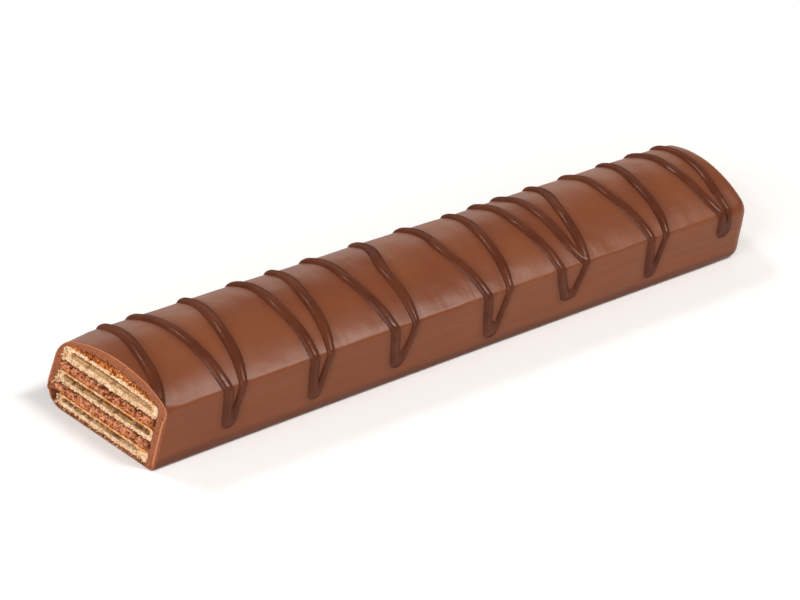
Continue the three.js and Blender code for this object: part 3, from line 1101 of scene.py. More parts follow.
@dataclass
class CutEdge:
    """How the coat's wall broke at the cut: ragged at the filling, crumpled low and at the back, with
    painted shade in its hollows.
    """

    form: BarForm
    room: Filling
    steps: int = 14
    middle: Span = (0.0, 6.6)
    bubbles: int = 26
    bubble_seed: int = 5
    bubble_places: Span = (0.2, 0.85)
    bubble_sizes: Span = (0.08, 0.22)
    bubble_share: float = 0.9
    bubble_shade: float = 0.7
    ragged: Grain = Grain(0.7, 0.7, (0.0, 0.0), 3)
    spiky: Grain = Grain(0.24, math.inf, (30.0, 4.0))
    crumpled: Grain = Grain(0.6, 0.6, (70.0, 41.0), 3)
    rough: Grain = Grain(0.9, 0.9, (9.0, 3.0), 3)
    ragged_height: float = 0.10
    spike_height: float = 0.26
    inset: float = 0.03
    lid_zone: Span = (10.0, 10.6)
    floor_zone: Span = (0.5, 1.0)
    back_zone: Span = (9.0, 9.6)
    corner_across: Span = (7.6, 8.4)
    corner_up: Span = (1.9, 2.7)
    outer_part: Span = (0.75, 1.0)
    inner_part: Span = (0.0, 0.2)
    rough_depth: float = 0.04
    back_rough_depth: float = 0.14
    inner_depth: float = 0.08
    floor_depth: float = 0.20
    floor_crumple: float = 0.45
    back_crumple: float = 0.4
    corner_depth: float = 0.7
    back_pit_shade_heights: Span = (4.0, 6.0)

    def __post_init__(self) -> None:
        """Draws its noise."""
        self.noise = Unevenness(12)

    def wall(self, outer: Array) -> tuple[Array, Array, Array]:
        """Where the coat ends at the filling.

        Args:
            outer: points (y, z) of the skin round the cut.

        Returns:
            The wall's points (y, z), the outward direction at each, and how ragged it is there.
        """
        centre = np.array(self.middle)
        wall = self.room.facing(outer, centre)
        ragged = self.noise.waves(self.ragged, *wall.T)
        direction = (wall - centre) / np.linalg.norm(wall - centre, axis=1, keepdims=True)
        on_lid = smoothstep(wall[:, 1], *self.lid_zone)
        spiky = self.noise.waves(self.spiky, *wall.T)
        moved = self.ragged_height * ragged - self.inset + on_lid * (self.spike_height * spiky - self.inset)
        return wall + direction * moved[:, None], direction, ragged

    def blown(self, wall: Array, lip: Array) -> list[tuple[float, float, float]]:
        """Bubbles between the wall and the lip, each with its place (y, z) and its radius."""
        random = np.random.default_rng(self.bubble_seed)
        spots = []
        for _ in range(self.bubbles):
            at = random.integers(len(wall))
            share = random.uniform(*self.bubble_places)
            spots.append((*blend(wall[at], lip[at], share), random.uniform(*self.bubble_sizes)))
        return spots

    def relief(self, flat: Array, step: float, ragged: Array) -> tuple[Array, Array]:
        """How deep the edge broke along one loop.

        Args:
            flat: the loop's points (y, z).
            step: how far out the loop lies, from 0 at the filling to 1 at the lip.
            ragged: how ragged the wall is beside each point.

        Returns:
            The depth behind the cut, and how much painted shade each point gets in the hollows.
        """
        y, z = flat.T
        at_floor = falling(z, *self.floor_zone)
        at_back = smoothstep(y, *self.back_zone)
        in_corner = smoothstep(y, *self.corner_across) * falling(z, *self.corner_up)
        inner = falling(step, *self.outer_part)
        crumpled = self.noise.waves(self.crumpled, y, z)
        depth = (self.rough_depth + self.back_rough_depth * at_back) * self.noise.waves(self.rough, y, z)
        depth = depth + self.inner_depth * falling(step, *self.inner_part) * (1 + ragged)
        hollow = at_floor * (self.floor_depth + self.floor_crumple * crumpled)
        hollow = hollow + at_back * self.back_crumple * crumpled + self.corner_depth * in_corner
        # painted shade in the crumpled hollows low down, at the back and in the broken corner
        floor_pit_shade = 0.75 * smoothstep(crumpled + 0.35 - 0.5 * step, 0.0, 0.3) * at_floor
        fading_up = 1 - 0.6 * smoothstep(z, *self.back_pit_shade_heights)
        back_pit_shade = 0.7 * smoothstep(crumpled, 0.05, 0.4) * at_back * fading_up
        pits = np.maximum(np.maximum(floor_pit_shade, back_pit_shade), in_corner * (0.9 + 0.3 * crumpled))
        return depth + inner * hollow, pits * inner

    def loops(self, outer: Array, rounding: Array) -> tuple[Array, Array]:
        """The edge's loops, from the filling out to the lip where it rounds over into the skin.

        Args:
            outer: points (y, z) of the skin round the cut.
            rounding: how far the edge is rounded off at each of them.

        Returns:
            Points (x, y, z) of each loop, and how much painted shade each point gets in the hollows.
        """
        wall, direction, ragged = self.wall(outer)
        lip = outer - direction * rounding[:, None]
        spots = self.blown(wall, lip)
        loops, pit_shading = [], []
        for step in np.linspace(0, 1, self.steps):
            flat = blend(wall, lip, step)
            depth, pits = self.relief(flat, step, ragged)
            for *spot, size in spots:
                dent = np.sqrt(dome(np.hypot(*(flat - spot).T) / size))
                depth = depth + size * self.bubble_share * dent
                pits = np.maximum(pits, self.bubble_shade * dent)
            pit_shading.append(np.clip(pits, 0, 1))
            loops.append(np.column_stack([self.form.cut_x(*flat.T) + depth, flat]))
        return np.array(loops), np.array(pit_shading)


@dataclass
class Coat:
    """The chocolate coat: its skin, its closed far end, its cut edge and the room for the filling."""

    form: BarForm
    skin: CoatSkin
    room: Filling
    round_skin: int = 200
    round_floor: int = 40
    along: int = 270
    crowding: Span = (0.35, 2.2)
    rounding_steps: int = 9
    cap_steps: int = 14
    rim: float = 0.09
    front_rim: float = 0.42
    front_stations: Span = (11.0, 13.0)
    front_foot_stations: Span = (20.4, 21.4)
    rim_turns: tuple[float, ...] = (math.radians(30), math.radians(60))
    rim_highlight_heights: Span = (0.3, 1.6)
    lip_cut: Span = (0.9, 0.5)
    # where the painted shade along the foot rises
    foot_stations: Span = (19.4, 20.9)
    side_stations: Span = (9.6, 12.0)
    beside_thread_reach: Span = (-0.3, 1.5)
    cap_swell: float = 0.12
    cap_grain: Grain = Grain(5.0, 5.0, (70.0, 20.0))
    cap_foot_shade: Span = (0.3, 1.8)
    cap_blend: float = 0.3
    wall_stops: tuple[float, ...] = (0.3, 1.0, 3.0, 12.0, 50.0)

    def floor_run(self, first: Array, last: Array) -> Array:
        """Points across the floor from the front foot to the back foot, for each loop."""
        steps = np.linspace(0, 1, self.round_floor + 2)[1:-1][None, :, None]
        return blend(last[:, None, :], first[:, None, :], steps)

    def rounding(self, share: Array) -> Array:
        """How far the cut's edge is rounded off at each share: most down the front side."""
        station = self.skin.station_of(np.full_like(share, -self.form.far), share)
        on_front = smoothstep(station, *self.front_stations) * falling(station, *self.front_foot_stations)
        return blend(self.rim, self.front_rim, on_front)

    def skin_loops(self) -> tuple[Array, Array]:
        """The skin from the cut to where the far end begins to round.

        Returns:
            Points of each loop, and the shares of a loop's points on the skin.
        """
        share = np.linspace(-1.0, 1.0, self.round_skin)
        start = self.skin.at_cut(share) + self.rounding(share)
        steps = np.linspace(0, 1, self.along)
        crowded, power = self.crowding
        steps = blend(steps, steps**power, crowded)
        x = blend(start[None, :], self.form.far - self.form.end_rounding, steps[:, None])
        return self.skin.surface(x, np.broadcast_to(share, x.shape)), share

    def far_loops(self, share: Array) -> tuple[Array, Array]:
        """The far end: rings that draw in as they round over, then a cap.

        Args:
            share: the shares of a ring's points on the skin.

        Returns:
            Points of each ring, and how far each ring has turned into the cap, from 0 to 1.
        """
        middle, radius = self.form.crown_height / 2, self.form.end_rounding
        half_width = self.form.foot_width / 2
        turns = np.linspace(0, QUARTER, self.rounding_steps + 1)[1:]
        flat_end = np.ones(self.cap_steps - 1)
        x = np.concatenate([self.form.far - radius * (1 - np.sin(turns)), flat_end * self.form.far])
        inset = np.concatenate([radius * (1 - np.cos(turns)), flat_end * radius])
        scale = np.concatenate([np.ones(len(turns)), np.linspace(1, 0, self.cap_steps + 1)[1:-1]])
        shape = (len(x), len(share))
        rings = self.skin.surface(np.broadcast_to(x[:, None], shape), np.broadcast_to(share, shape))
        rings[..., 1] *= ((1 - inset / half_width) * scale)[:, None]
        rings[..., 2] = middle + (rings[..., 2] - middle) * ((1 - inset / middle) * scale)[:, None]
        return rings, smoothstep(1 - scale + inset / radius * 0.2, 0.0, 0.4)

    def lip_loops(self, lip: Array, outer: Array, rounding: Array) -> Array:
        """The rounded edge between the cut's lip and the skin.

        Args:
            lip: the cut edge's last loop.
            outer: the skin's first loop.
            rounding: how far the edge is rounded off at each point.

        Returns:
            Points of each loop.
        """
        loops = []
        for turn in self.rim_turns:
            flat = blend(lip[:, 1:], outer[:, 1:], math.sin(turn))
            back = rounding * (1 - math.cos(turn))
            loops.append(np.column_stack([self.form.cut_x(*flat.T) + back, flat]))
        return np.array(loops)

    def wall_loops(self, edge: Array, centre: Span) -> Array:
        """The room's wall from its closed end up to the cut edge.

        Args:
            edge: the cut edge's first loop.
            centre: the point (y, z) from which the wall is seen.

        Returns:
            Points of each loop.
        """
        wall = self.room.facing(edge[:, 1:], np.array(centre))
        end = self.form.far - self.room.far_wall
        stops = (math.inf, *self.wall_stops[::-1])
        return np.array([np.column_stack([np.minimum(edge[:, 0] + stop, end), wall]) for stop in stops])

    def beside(self, x: Array, station: Array, thread: PouredLines) -> Array:
        """How near each place of the skin lies to the thread.

        Args:
            x: places along the bar.
            station: stations round it.
            thread: the thread's lines.

        Returns:
            1 at the thread itself, and 0 beyond the darker band round it.
        """
        path, widths = np.vstack(thread.points), np.concatenate(thread.widths)
        tree = KDTree(len(path))
        for index, (along, at) in enumerate(path):
            tree.insert((along, at, 0.0), index)
        tree.balance()
        away = np.zeros(x.shape)
        for place in np.ndindex(x.shape):
            _, index, distance = tree.find((x[place], station[place], 0.0))
            away[place] = distance - widths[index]
        return falling(away, *self.beside_thread_reach)

    def skin_masks(
        self, upper: Array, share: Array, cap: Array, turned: Array, thread: PouredLines
    ) -> Masks:
        """How low, how far on a side and how near the thread each point of the outside lies.

        Args:
            upper: the outside's loops without the floor.
            share: the shares of their points.
            cap: the far end's loops with the floor.
            turned: how far each of those has turned into the cap.
            thread: the thread's lines.

        Returns:
            The masks foot (painted shade low along the coat), side and beside, from 0 to 1.
        """
        station = self.skin.station_of(upper[..., 0], np.broadcast_to(share, upper.shape[:2]))
        cap_foot_shade_mask = falling(cap[..., 2], *self.cap_foot_shade)
        seen = {
            # foot marks where painted shade darkens the coat low down, on its sides and on its far end
            "foot": (smoothstep(np.abs(station), *self.foot_stations), cap_foot_shade_mask),
            "side": (smoothstep(np.abs(station), *self.side_stations), 1.0),
            "beside": (self.beside(upper[..., 0], station, thread), 0.0),
        }
        masks = {}
        for name, (values, capped) in seen.items():
            mask = np.zeros((len(upper), cap.shape[1]))
            mask[:, : len(share)] = values
            rings = mask[-len(cap) :]
            rings[:] = blend(rings, capped, smoothstep(turned, 0.0, self.cap_blend)[:, None])
            masks[name] = mask
        return masks

    def build(self, thread: PouredLines) -> Object:
        """Makes the coat as one closed mesh, darker beside the thread.

        Args:
            thread: the lines of the thread that is poured over it.

        Returns:
            The coat.
        """
        skin, share = self.skin_loops()
        far, turned = self.far_loops(share)
        upper = self.form.leaned(np.concatenate([skin, far]))
        floor = self.floor_run(upper[:, 0], upper[:, -1])
        outside = np.concatenate([upper, floor], axis=1)
        cap = outside[len(skin) :]
        swell = self.skin.noise.waves(self.cap_grain, cap[..., 1], cap[..., 2])
        cap[..., 0] += self.cap_swell * (swell - 1) * turned[:, None]
        rounding = np.concatenate([self.rounding(share), np.full(self.round_floor, self.rim)])
        cut = CutEdge(self.form, self.room)
        edge, pit_shading = cut.loops(outside[0, :, 1:], rounding)
        wall = self.wall_loops(edge[0], cut.middle)
        lip = self.lip_loops(edge[-1], outside[0], rounding)
        loops = np.concatenate([wall, edge, lip, outside])
        first_cut, first_lip = len(wall), len(wall) + len(edge)
        first_skin = first_lip + len(lip)
        names = ("cut", "rim", "gap", "foot", "side", "beside")
        masks = {name: np.zeros(loops.shape[:2]) for name in names}
        masks["cut"][:first_lip] = 1.0
        masks["cut"][first_lip:first_skin] = np.linspace(*self.lip_cut, len(lip))[:, None]
        # painted highlight along the lip, fading out towards the floor
        masks["rim"][first_lip - 1] = smoothstep(edge[-1, :, 2], *self.rim_highlight_heights)
        masks["gap"][first_cut:first_lip] = pit_shading
        for name, values in self.skin_masks(upper, share, cap, turned, thread).items():
            masks[name][first_skin:] = values
        number = numbered(loops.shape[:2])
        ends = np.array([loops[0].mean(0), loops[-1].mean(0)])
        faces = loop_faces(number) + fan(number.size, number[0]) + fan(number.size + 1, number[-1, ::-1])
        made = closed_object("coat", np.vstack([loops.reshape(-1, 3), ends]), faces)
        for name, values in masks.items():
            at_ends = [float(name == "cut"), float(name == "side")]
            store(made, name, np.concatenate([values.ravel(), at_ends]))
        return made


# Crumbs and grains


@dataclass(frozen=True)
class Lot:
    """A lot of bits: how many, between which limits they lie, how large they are and how browned."""

    count: int
    across: Span
    up: Span
    size: Span
    depth: Span
    crust: float = 0.0

    def drawn(self, random: np.random.Generator) -> tuple[Array, Array]:
        """Draws places across the bar, and places up, within the lot's limits."""
        return random.uniform(*self.across, self.count), random.uniform(*self.up, self.count)


@dataclass
class Crumbs:
    """Small broken bits, each a rough ball of its own size, placed by the face that it broke from."""

    name: str
    form: BarForm
    room: Filling
    seed: int
    roughness: float
    facets: int = 2
    waves: float = 3600.0
    small_ones: float = 1.6
    squash: Span = (0.6, 1.3)
    places: list[Array] = field(default_factory=list)
    sizes: list[Array] = field(default_factory=list)
    tones: list[Array] = field(default_factory=list)
    crusts: list[Array] = field(default_factory=list)

    def __post_init__(self) -> None:
        """Starts the random numbers."""
        self.random = np.random.default_rng(self.seed)

    def scatter(self, lot: Lot, y: Array, z: Array) -> None:
        """Adds a lot of bits on the cut.

        Args:
            lot: their kind.
            y: their places across the bar.
            z: their heights.
        """
        y, z = self.room.fitted(y, z)
        x = self.form.cut_x(y, z) + self.random.uniform(*lot.depth, lot.count)
        self.places.append(np.column_stack([x, y, z]))
        self.sizes.append(blend(*lot.size, self.random.uniform(0, 1, lot.count) ** self.small_ones))
        self.tones.append(self.random.uniform(0, 1, lot.count))
        self.crusts.append(np.full(lot.count, lot.crust))

    def tree(self) -> NodeTree:
        """The node tree that sets a rough ball on each place."""
        sockets = {"Places": "Geometry", "Facets": "Int", "Roughness": "Float", "Waves": "Float"}
        sockets |= {"Least": "Float", "Most": "Float", "Seed": "Int", "Finish": "Material"}
        nodes, group = Nodes.of_geometry("scattered_crumbs", sockets, "Crumbs")
        given = group.outputs
        seed = given["Seed"]
        ball = nodes.add("GeometryNodeMeshIcoSphere", {"Radius": 1.0, "Subdivisions": given["Facets"]})
        turn, squashed = (
            nodes.add("FunctionNodeRandomValue", {0: low, 1: high, "Seed": seed}, data_type=VECTOR)
            for low, high in (((0.0, 0.0, 0.0), (math.tau,) * 3), (given["Least"], given["Most"]))
        )
        size = nodes.stored("size")
        inputs = {"Points": given["Places"], "Instance": ball, "Rotation": turn}
        inputs["Scale"] = nodes.scaled(squashed, size)
        set_out = nodes.add("GeometryNodeInstanceOnPoints", inputs)
        real = nodes.add("GeometryNodeRealizeInstances", {"Geometry": set_out})
        inputs = {"Vector": nodes.add("GeometryNodeInputPosition"), "Scale": given["Waves"], "Detail": 2.0}
        noise = nodes.add("ShaderNodeTexNoise", inputs).outputs["Color"]
        swing = nodes.add("ShaderNodeVectorMath", {0: noise, 1: (0.5, 0.5, 0.5)}, operation="SUBTRACT")
        offset = nodes.scaled(swing, Number(nodes, size) * given["Roughness"])
        broken = nodes.add("GeometryNodeSetPosition", {"Geometry": real, "Offset": offset})
        dressed = nodes.add("GeometryNodeSetMaterial", {"Geometry": broken, "Material": given["Finish"]})
        nodes.add("NodeGroupOutput", {"Crumbs": dressed})
        return nodes.tree

    def build(self, material: Material) -> Object:
        """Makes all the bits as one mesh."""
        made = mesh_object(self.name, shifted(np.vstack(self.places)))
        store(made, "size", np.concatenate(self.sizes) * MM)
        store(made, "grain", np.concatenate(self.tones))
        store(made, "crust", np.concatenate(self.crusts))
        least, most = self.squash
        sizes = {"Facets": self.facets, "Roughness": self.roughness, "Waves": self.waves, "Seed": self.seed}
        return grown(made, self.tree(), sizes | {"Least": least, "Most": most, "Finish": material})


# The layers of the filling


@dataclass
class Layer:
    """One layer of the filling, with the ragged face that the cut left on it."""

    node: str
    low: float
    high: float
    seed: int
    form: BarForm
    room: Filling
    arch: float = 0.0
    gap: float = 0.1
    corner: float = 0.15
    lid_corner: float = 0.15
    columns: int = 420
    fineness: float = 0.05
    fewest_rows: int = 16
    stands_out: float = 0.12
    wall_stops: tuple[float, ...] = (0.25, 1.0, 4.0, 20.0, 70.0)

    food: ClassVar[Food]

    def broken(self, y: Array, z: Array, noise: Unevenness) -> tuple[Array, Masks]:
        """The depth behind the cut at places (y, z), and the masks recess, crust, skin, grain and gap."""
        raise NotImplementedError

    def shed(self, crumbs: Crumbs, random: np.random.Generator) -> None:
        """Adds the bits that the layer left on the cut."""
        raise NotImplementedError

    def spread(self) -> tuple[Array, Array]:
        """The face's grid of (y, z), from the front end to the back and from the bottom up."""
        low, high = self.low + self.gap / 2, self.high - self.gap / 2
        half_width = self.room.half_width - self.gap / 2
        rows = max(int((high + self.arch - low) / self.fineness), self.fewest_rows)
        up, side = np.meshgrid(np.linspace(0, 1, rows), np.linspace(-1, 1, self.columns), indexing="ij")
        lid = high + self.arch * dome(np.abs(side))
        corner = np.where(up > 0.5, self.lid_corner, self.corner)
        tall = (lid - low) / 2
        near_edge = np.clip((np.abs(2 * up - 1) - (1 - corner / tall)) / (corner / tall), 0, 1)
        width = half_width - corner * (1 - np.sqrt(1 - near_edge**2))
        return side * width, blend(low, lid, up)

    def build(self) -> Object:
        """Makes the layer as one closed mesh that runs on to the coat's far wall."""
        y, z = self.spread()
        depth, masks = self.broken(y, z, Unevenness(self.seed))
        y, z = self.room.fitted(y, z)
        x = self.form.cut_x(y, z) + np.maximum(depth, -self.stands_out)
        face = np.stack([x, y, z], -1).reshape(-1, 3)
        number = numbered(y.shape)
        border = np.concatenate([number[0, :-1], number[:-1, -1], number[-1, :0:-1], number[:0:-1, 0]])
        end = self.form.far - self.room.far_wall - self.gap
        rings = []
        for stop in (*self.wall_stops, math.inf):
            ring = face[border]
            ring[:, 0] = np.minimum(ring[:, 0] + stop, end)
            rings.append(ring)
        points = np.vstack([face, *rings, rings[-1].mean(0)])
        walls = np.arange(len(face), len(points) - 1).reshape(len(rings), -1)
        faces = grid_faces(number) + loop_faces(np.vstack([border, walls]))
        made = closed_object(self.node + "_dressed", points, faces + fan(len(points) - 1, walls[-1]))
        for name, mask in masks.items():
            values = mask.ravel()
            store(made, name, np.concatenate([values, np.tile(values[border], len(rings)), [0.0]]))
        return made


@dataclass
class WaferSheet(Layer):
    """A wafer sheet: a thin upper skin, an airy middle that fell back into a slot and a toothed lower band.

    The weights of the noises are in millimetres.
    """

    corner: float = 0.6
    lid_corner: float = 0.6
    crust_rise: float = 0.4
    crust_drop: float = 0.004
    slot: Span = (8.2, 8.2)
    slot_floor: float = 0.38
    slot_roof: float = 0.80
    slot_taper: float = 0.7
    slot_shade: float = 0.0
    slot_breaks: float = 0.0
    slot_depth: float = 0.5
    rib_depth: float = 0.16
    pit_depth: float = 0.30
    face_depth: float = 0.08
    roughness: float = 0.08
    band_depth: float = 0.20
    lump_height: float = 0.32
    band_lean: float = 0.14
    crust_depth: float = 0.32
    crumb_height: float = 0.45
    gap_depth: float = 0.8
    broken_back: float = 9.9
    broken_rim: float = 0.12
    broken_depth: float = 0.6
    hollow: bool = False
    trickle: bool = False
    teeth: Grain = Grain(0.30, 1.5, (0.0, 3.0))
    fray: Grain = Grain(0.42, 1.8, (50.0, 9.0))
    wander: Grain = Grain(1.7, math.inf, (90.0, 5.0))
    ribs: Grain = Grain(0.26, 0.75, (12.0, 31.0))
    rough: Grain = Grain(0.24, 0.24, (71.0, 8.0))
    pits: Grain = Grain(0.62, 0.45, (20.0, 60.0), 3)
    breaks: Grain = Grain(0.8, 2.0, (33.0, 0.0), 3)
    lumps: Grain = Grain(0.46, 0.36)
    crumbs: Grain = Grain(0.40, 0.34, (7.0, 5.0))

    food = Food.WAFER
    AT_FOOT = Lot(150, (-9.0, 9.0), (0.2, 0.45), (0.05, 0.13), (0.0, 0.25))
    UNDER_SKIN = Lot(70, (-8.9, 8.9), (-0.06, 0.06), (0.04, 0.08), (0.02, 0.2))
    AT_BACK = Lot(60, (-0.4, 0.3), (0.0, 1.0), (0.06, 0.15), (-0.1, 0.2))
    TRICKLED = Lot(34, (-0.08, 0.08), (-0.1, 0.1), (0.06, 0.12), (-0.05, 0.08))
    ON_FLOOR = Lot(60, (-8.8, 8.0), (0.15, 0.5), (0.05, 0.12), (0.0, 0.15))
    IN_CRUST = Lot(460, (-8.8, 8.8), (-0.05, 1.05), (0.06, 0.19), (-0.12, 0.2), 1.0)
    ON_LID = Lot(130, (-7.6, 8.7), (-0.02, 0.22), (0.04, 0.11), (-0.08, 0.02), 1.0)
    LID_HALF_WIDTH = 8.9
    FURTHEST_BACK = 9.3
    UNDER_SKIN_HEIGHT = 0.77

    def crust_line(self, y: Array) -> Array:
        """The height of the crust's lower edge on an arched sheet."""
        return self.high - self.crust_drop * y**2 + self.crust_rise

    def broken(self, y: Array, z: Array, noise: Unevenness) -> tuple[Array, Masks]:
        """How the sheet broke.

        Args:
            y: places across the bar.
            z: heights.
            noise: the sheet's unevenness.

        Returns:
            The depth behind the cut, and the masks recess, crust, skin, grain (which in the slot holds its
            painted shadow) and gap.
        """
        top = self.crust_line(y) if self.arch else np.full_like(y, self.high)
        height, tall = z - self.low, top - self.low
        grains = (self.teeth, self.fray, self.wander, self.ribs, self.rough)
        teeth, fray, wander, ribs, rough = (noise.waves(grain, y, z) for grain in grains)
        pits = smoothstep(noise.waves(self.pits, y, z), -0.15, 0.4)
        lump_gap, own = noise.cells(self.lumps, y, z)
        lumps = dome(lump_gap) * (0.35 + 0.65 * own)

        slot_end = np.where(y < 0, *self.slot)
        outward = np.abs(y) + 0.15 * fray
        near_end = smoothstep(outward, slot_end - self.slot_taper, slot_end)
        floor = self.slot_floor * tall + 0.08 * wander + 0.07 * fray + 0.12 * near_end
        roof = self.slot_roof * tall + 0.08 * teeth - 0.15 * near_end
        over_floor, over_roof = height - floor, height - roof
        inside = falling(outward, slot_end - 0.1, slot_end + 0.1)
        inside = inside * (1 - self.slot_breaks * smoothstep(noise.waves(self.breaks, y, z), 0.0, 0.3))
        fallen = smoothstep(over_floor, -0.02, 0.10) * falling(over_roof, -0.03, 0.04) * inside
        recess = smoothstep(over_floor, -0.06, 0.06) * falling(over_roof, -0.02, 0.03) * inside
        gap = falling(height - (0.18 + 0.15 * teeth + 0.06 * wander), -0.04, 0.05)
        band = falling(over_floor, -0.1, 0.1) * (1 - gap)

        depth = self.face_depth + self.roughness * rough
        depth = depth + fallen * (self.slot_depth + self.rib_depth * ribs + self.pit_depth * pits)
        leaning = self.band_lean * smoothstep(height, 0.3, 0.9)
        depth = depth + band * (self.band_depth - self.lump_height * lumps + leaning)
        # painted shadow in the slot, darkest under its roof
        under_roof = smoothstep(over_floor / np.maximum(roof - floor, 0.1), 0.08, 0.55)
        roof_shadow = np.clip(self.slot_shade + 0.85 * under_roof + 0.45 * pits + 0.25 * ribs - 0.15, 0, 1)
        grain = np.where(recess > 0.5, roof_shadow, own)

        above = height - tall
        crumb_gap, crumb_own = noise.cells(self.crumbs, y, z)
        if self.arch:
            skin = 0 * y
            crust = smoothstep(above + 0.14 * teeth, -0.02, 0.06)
            crumbly = self.crumb_height * dome(crumb_gap) * (0.2 + crumb_own)
            depth = blend(depth, self.crust_depth - crumbly + self.roughness * rough, crust)
        else:
            skin = smoothstep(over_roof, -0.02, 0.06)
            crust = 0.5 * smoothstep(above + 0.08 * fray, -0.16, -0.04)
        grain = np.where(crust > 0.5, crumb_own, grain)

        fallen_away = smoothstep(y + 0.12 * teeth, self.broken_back, self.broken_back + self.broken_rim)
        gap = np.maximum(gap, fallen_away * (0.95 + 0.05 * rough))
        depth = depth + self.gap_depth * gap + self.broken_depth * fallen_away
        return depth, {"recess": recess, "crust": crust, "skin": skin, "grain": grain, "gap": gap}

    def shed(self, crumbs: Crumbs, random: np.random.Generator) -> None:
        """Leaves pale bits along the sheet's broken edges, and browned ones on its crust.

        Args:
            crumbs: the bits so far.
            random: the random numbers for their places.
        """
        y, rise = self.AT_FOOT.drawn(random)
        crumbs.scatter(self.AT_FOOT, y, self.low + rise)
        y, rise = self.UNDER_SKIN.drawn(random)
        crumbs.scatter(self.UNDER_SKIN, y, blend(self.low, self.high, self.UNDER_SKIN_HEIGHT) + rise)
        y, share = self.AT_BACK.drawn(random)
        top = self.high - (0.5 if self.arch else 0.1)
        end = min(self.broken_back, self.FURTHEST_BACK)
        crumbs.scatter(self.AT_BACK, end + y, blend(self.low + 0.1, top, share))
        if self.trickle:
            down = random.uniform(0, 1, self.TRICKLED.count)
            y, rise = self.TRICKLED.drawn(random)
            crumbs.scatter(self.TRICKLED, end + 0.85 * down + y, self.low + 0.5 - 1.2 * down + rise)
        if self.hollow:
            crumbs.scatter(self.ON_FLOOR, *self.ON_FLOOR.drawn(random))
        if self.arch:
            y, share = self.IN_CRUST.drawn(random)
            crumbs.scatter(self.IN_CRUST, y, blend(self.crust_line(y), self.lid_line(y), share))
            y, rise = self.ON_LID.drawn(random)
            crumbs.scatter(self.ON_LID, y, self.lid_line(y) + rise)

    def lid_line(self, y: Array) -> Array:
        """The height of an arched sheet's lid."""
        return self.high + self.arch * (1 - (y / self.LID_HALF_WIDTH) ** 2)


@dataclass
class CreamLayer(Layer):
    """Cream that broke in grains, with a dark gap here and there under the wafer above."""

    lumps: Grain = Grain(0.46, 0.40)
    crumbs: Grain = Grain(0.2, 0.2, (40.0, 40.0))
    patches: Grain = Grain(0.55, math.inf, (3.0, 8.0), 3)
    clefts: Grain = Grain(0.8, 2.4, (15.0, 2.0))
    swells: Grain = Grain(1.1, 0.8)
    lump_height: float = 0.30
    crumb_height: float = 0.12
    face_depth: float = 0.32
    swell_height: float = 0.10
    gap_depth: float = 0.6
    opening_heights: Span = (0.80, 0.88)
    front_opening: Span = (8.7, 8.95)
    toasted_heights: Span = (0.10, 0.42)

    food = Food.CREAM
    GRAINS = Lot(330, (-8.4, 9.1), (0.06, 0.84), (0.06, 0.19), (0.02, 0.4))

    def broken(self, y: Array, z: Array, noise: Unevenness) -> tuple[Array, Masks]:
        """How the cream broke.

        Args:
            y: places across the bar.
            z: heights.
            noise: the cream's unevenness.

        Returns:
            The depth behind the cut, and the masks recess, crust, skin, grain and gap.
        """
        share = (z - self.low) / (self.high - self.low)
        coarse_gap, own = noise.cells(self.lumps, y, z)
        small_gap, small_own = noise.cells(self.crumbs, y, z)
        lumps = self.lump_height * dome(coarse_gap * 1.1) * (0.3 + 0.7 * own)
        lumps = lumps + self.crumb_height * dome(small_gap) * small_own
        fallen_out = smoothstep(0.30 - own, -0.02, 0.06) * smoothstep(0.60 - coarse_gap, 0.0, 0.2)
        patchy = noise.waves(self.patches, y, z)
        opening = smoothstep(share + 0.28 * patchy, *self.opening_heights)
        opening = np.maximum(opening, smoothstep(-y + 0.2 * patchy, *self.front_opening))
        clefts = smoothstep(noise.waves(self.clefts, y, z), 0.38, 0.6)
        gap = np.maximum(np.maximum(opening, 0.7 * fallen_out), 0.6 * clefts)
        depth = self.face_depth - lumps + self.swell_height * noise.waves(self.swells, y, z)
        toast = falling(share + 0.12 * patchy, *self.toasted_heights)
        none = np.zeros_like(y)
        grain = 0.55 * own + 0.45 * small_own
        masks = {"recess": none, "crust": none, "skin": toast, "grain": grain, "gap": gap}
        return depth + self.gap_depth * gap, masks

    def shed(self, crumbs: Crumbs, random: np.random.Generator) -> None:
        """Adds grains that stand out of the broken cream."""
        y, share = self.GRAINS.drawn(random)
        crumbs.scatter(self.GRAINS, y, blend(self.low, self.high, share))


# The dark thread


@dataclass(frozen=True)
class FrontTurn:
    """One turn of the zigzag: where its drop ends, and where its two arms lie at each station."""

    tip: float
    notch: float
    lobe: float
    at: float
    left: tuple[float, ...]
    right: tuple[float, ...]
    spread: float = 0.0


STATIONS = (-8.0, 0.0, 8.0, 12.0)
FRONT_TURNS = (
    FrontTurn(18.6, 15.8, 1.3, -45.2, (-49.1, -47.4, -46.0, -45.75), (-41.0, -41.5, -42.3, -43.3)),
    FrontTurn(19.1, 16.5, 1.2, -29.9, (-31.6, -31.1, -30.3, -30.6), (-25.3, -26.0, -26.8, -27.8)),
    FrontTurn(18.9, 16.6, 1.5, -14.4, (-18.0, -17.5, -16.0, -15.6), (-9.3, -11.1, -11.3, -11.8)),
    FrontTurn(19.8, 17.5, 1.6, 4.2, (0.3, 0.35, 2.1, 2.5), (9.2, 8.5, 7.6, 6.7)),
    FrontTurn(17.6, 15.7, 0.95, 20.1, (15.5, 16.1, 17.3, 17.6), (26.7, 24.8, 23.5, 22.6), 0.8),
    FrontTurn(19.3, 16.0, 1.3, 38.2, (35.2, 35.5, 36.8, 36.9), (43.0, 41.8, 41.0, 40.0)),
    FrontTurn(16.0, 12.2, 1.6, 54.1, (50.5, 50.9, 51.9, 53.0), (55.7, 55.4, 54.5, 54.8)),
)


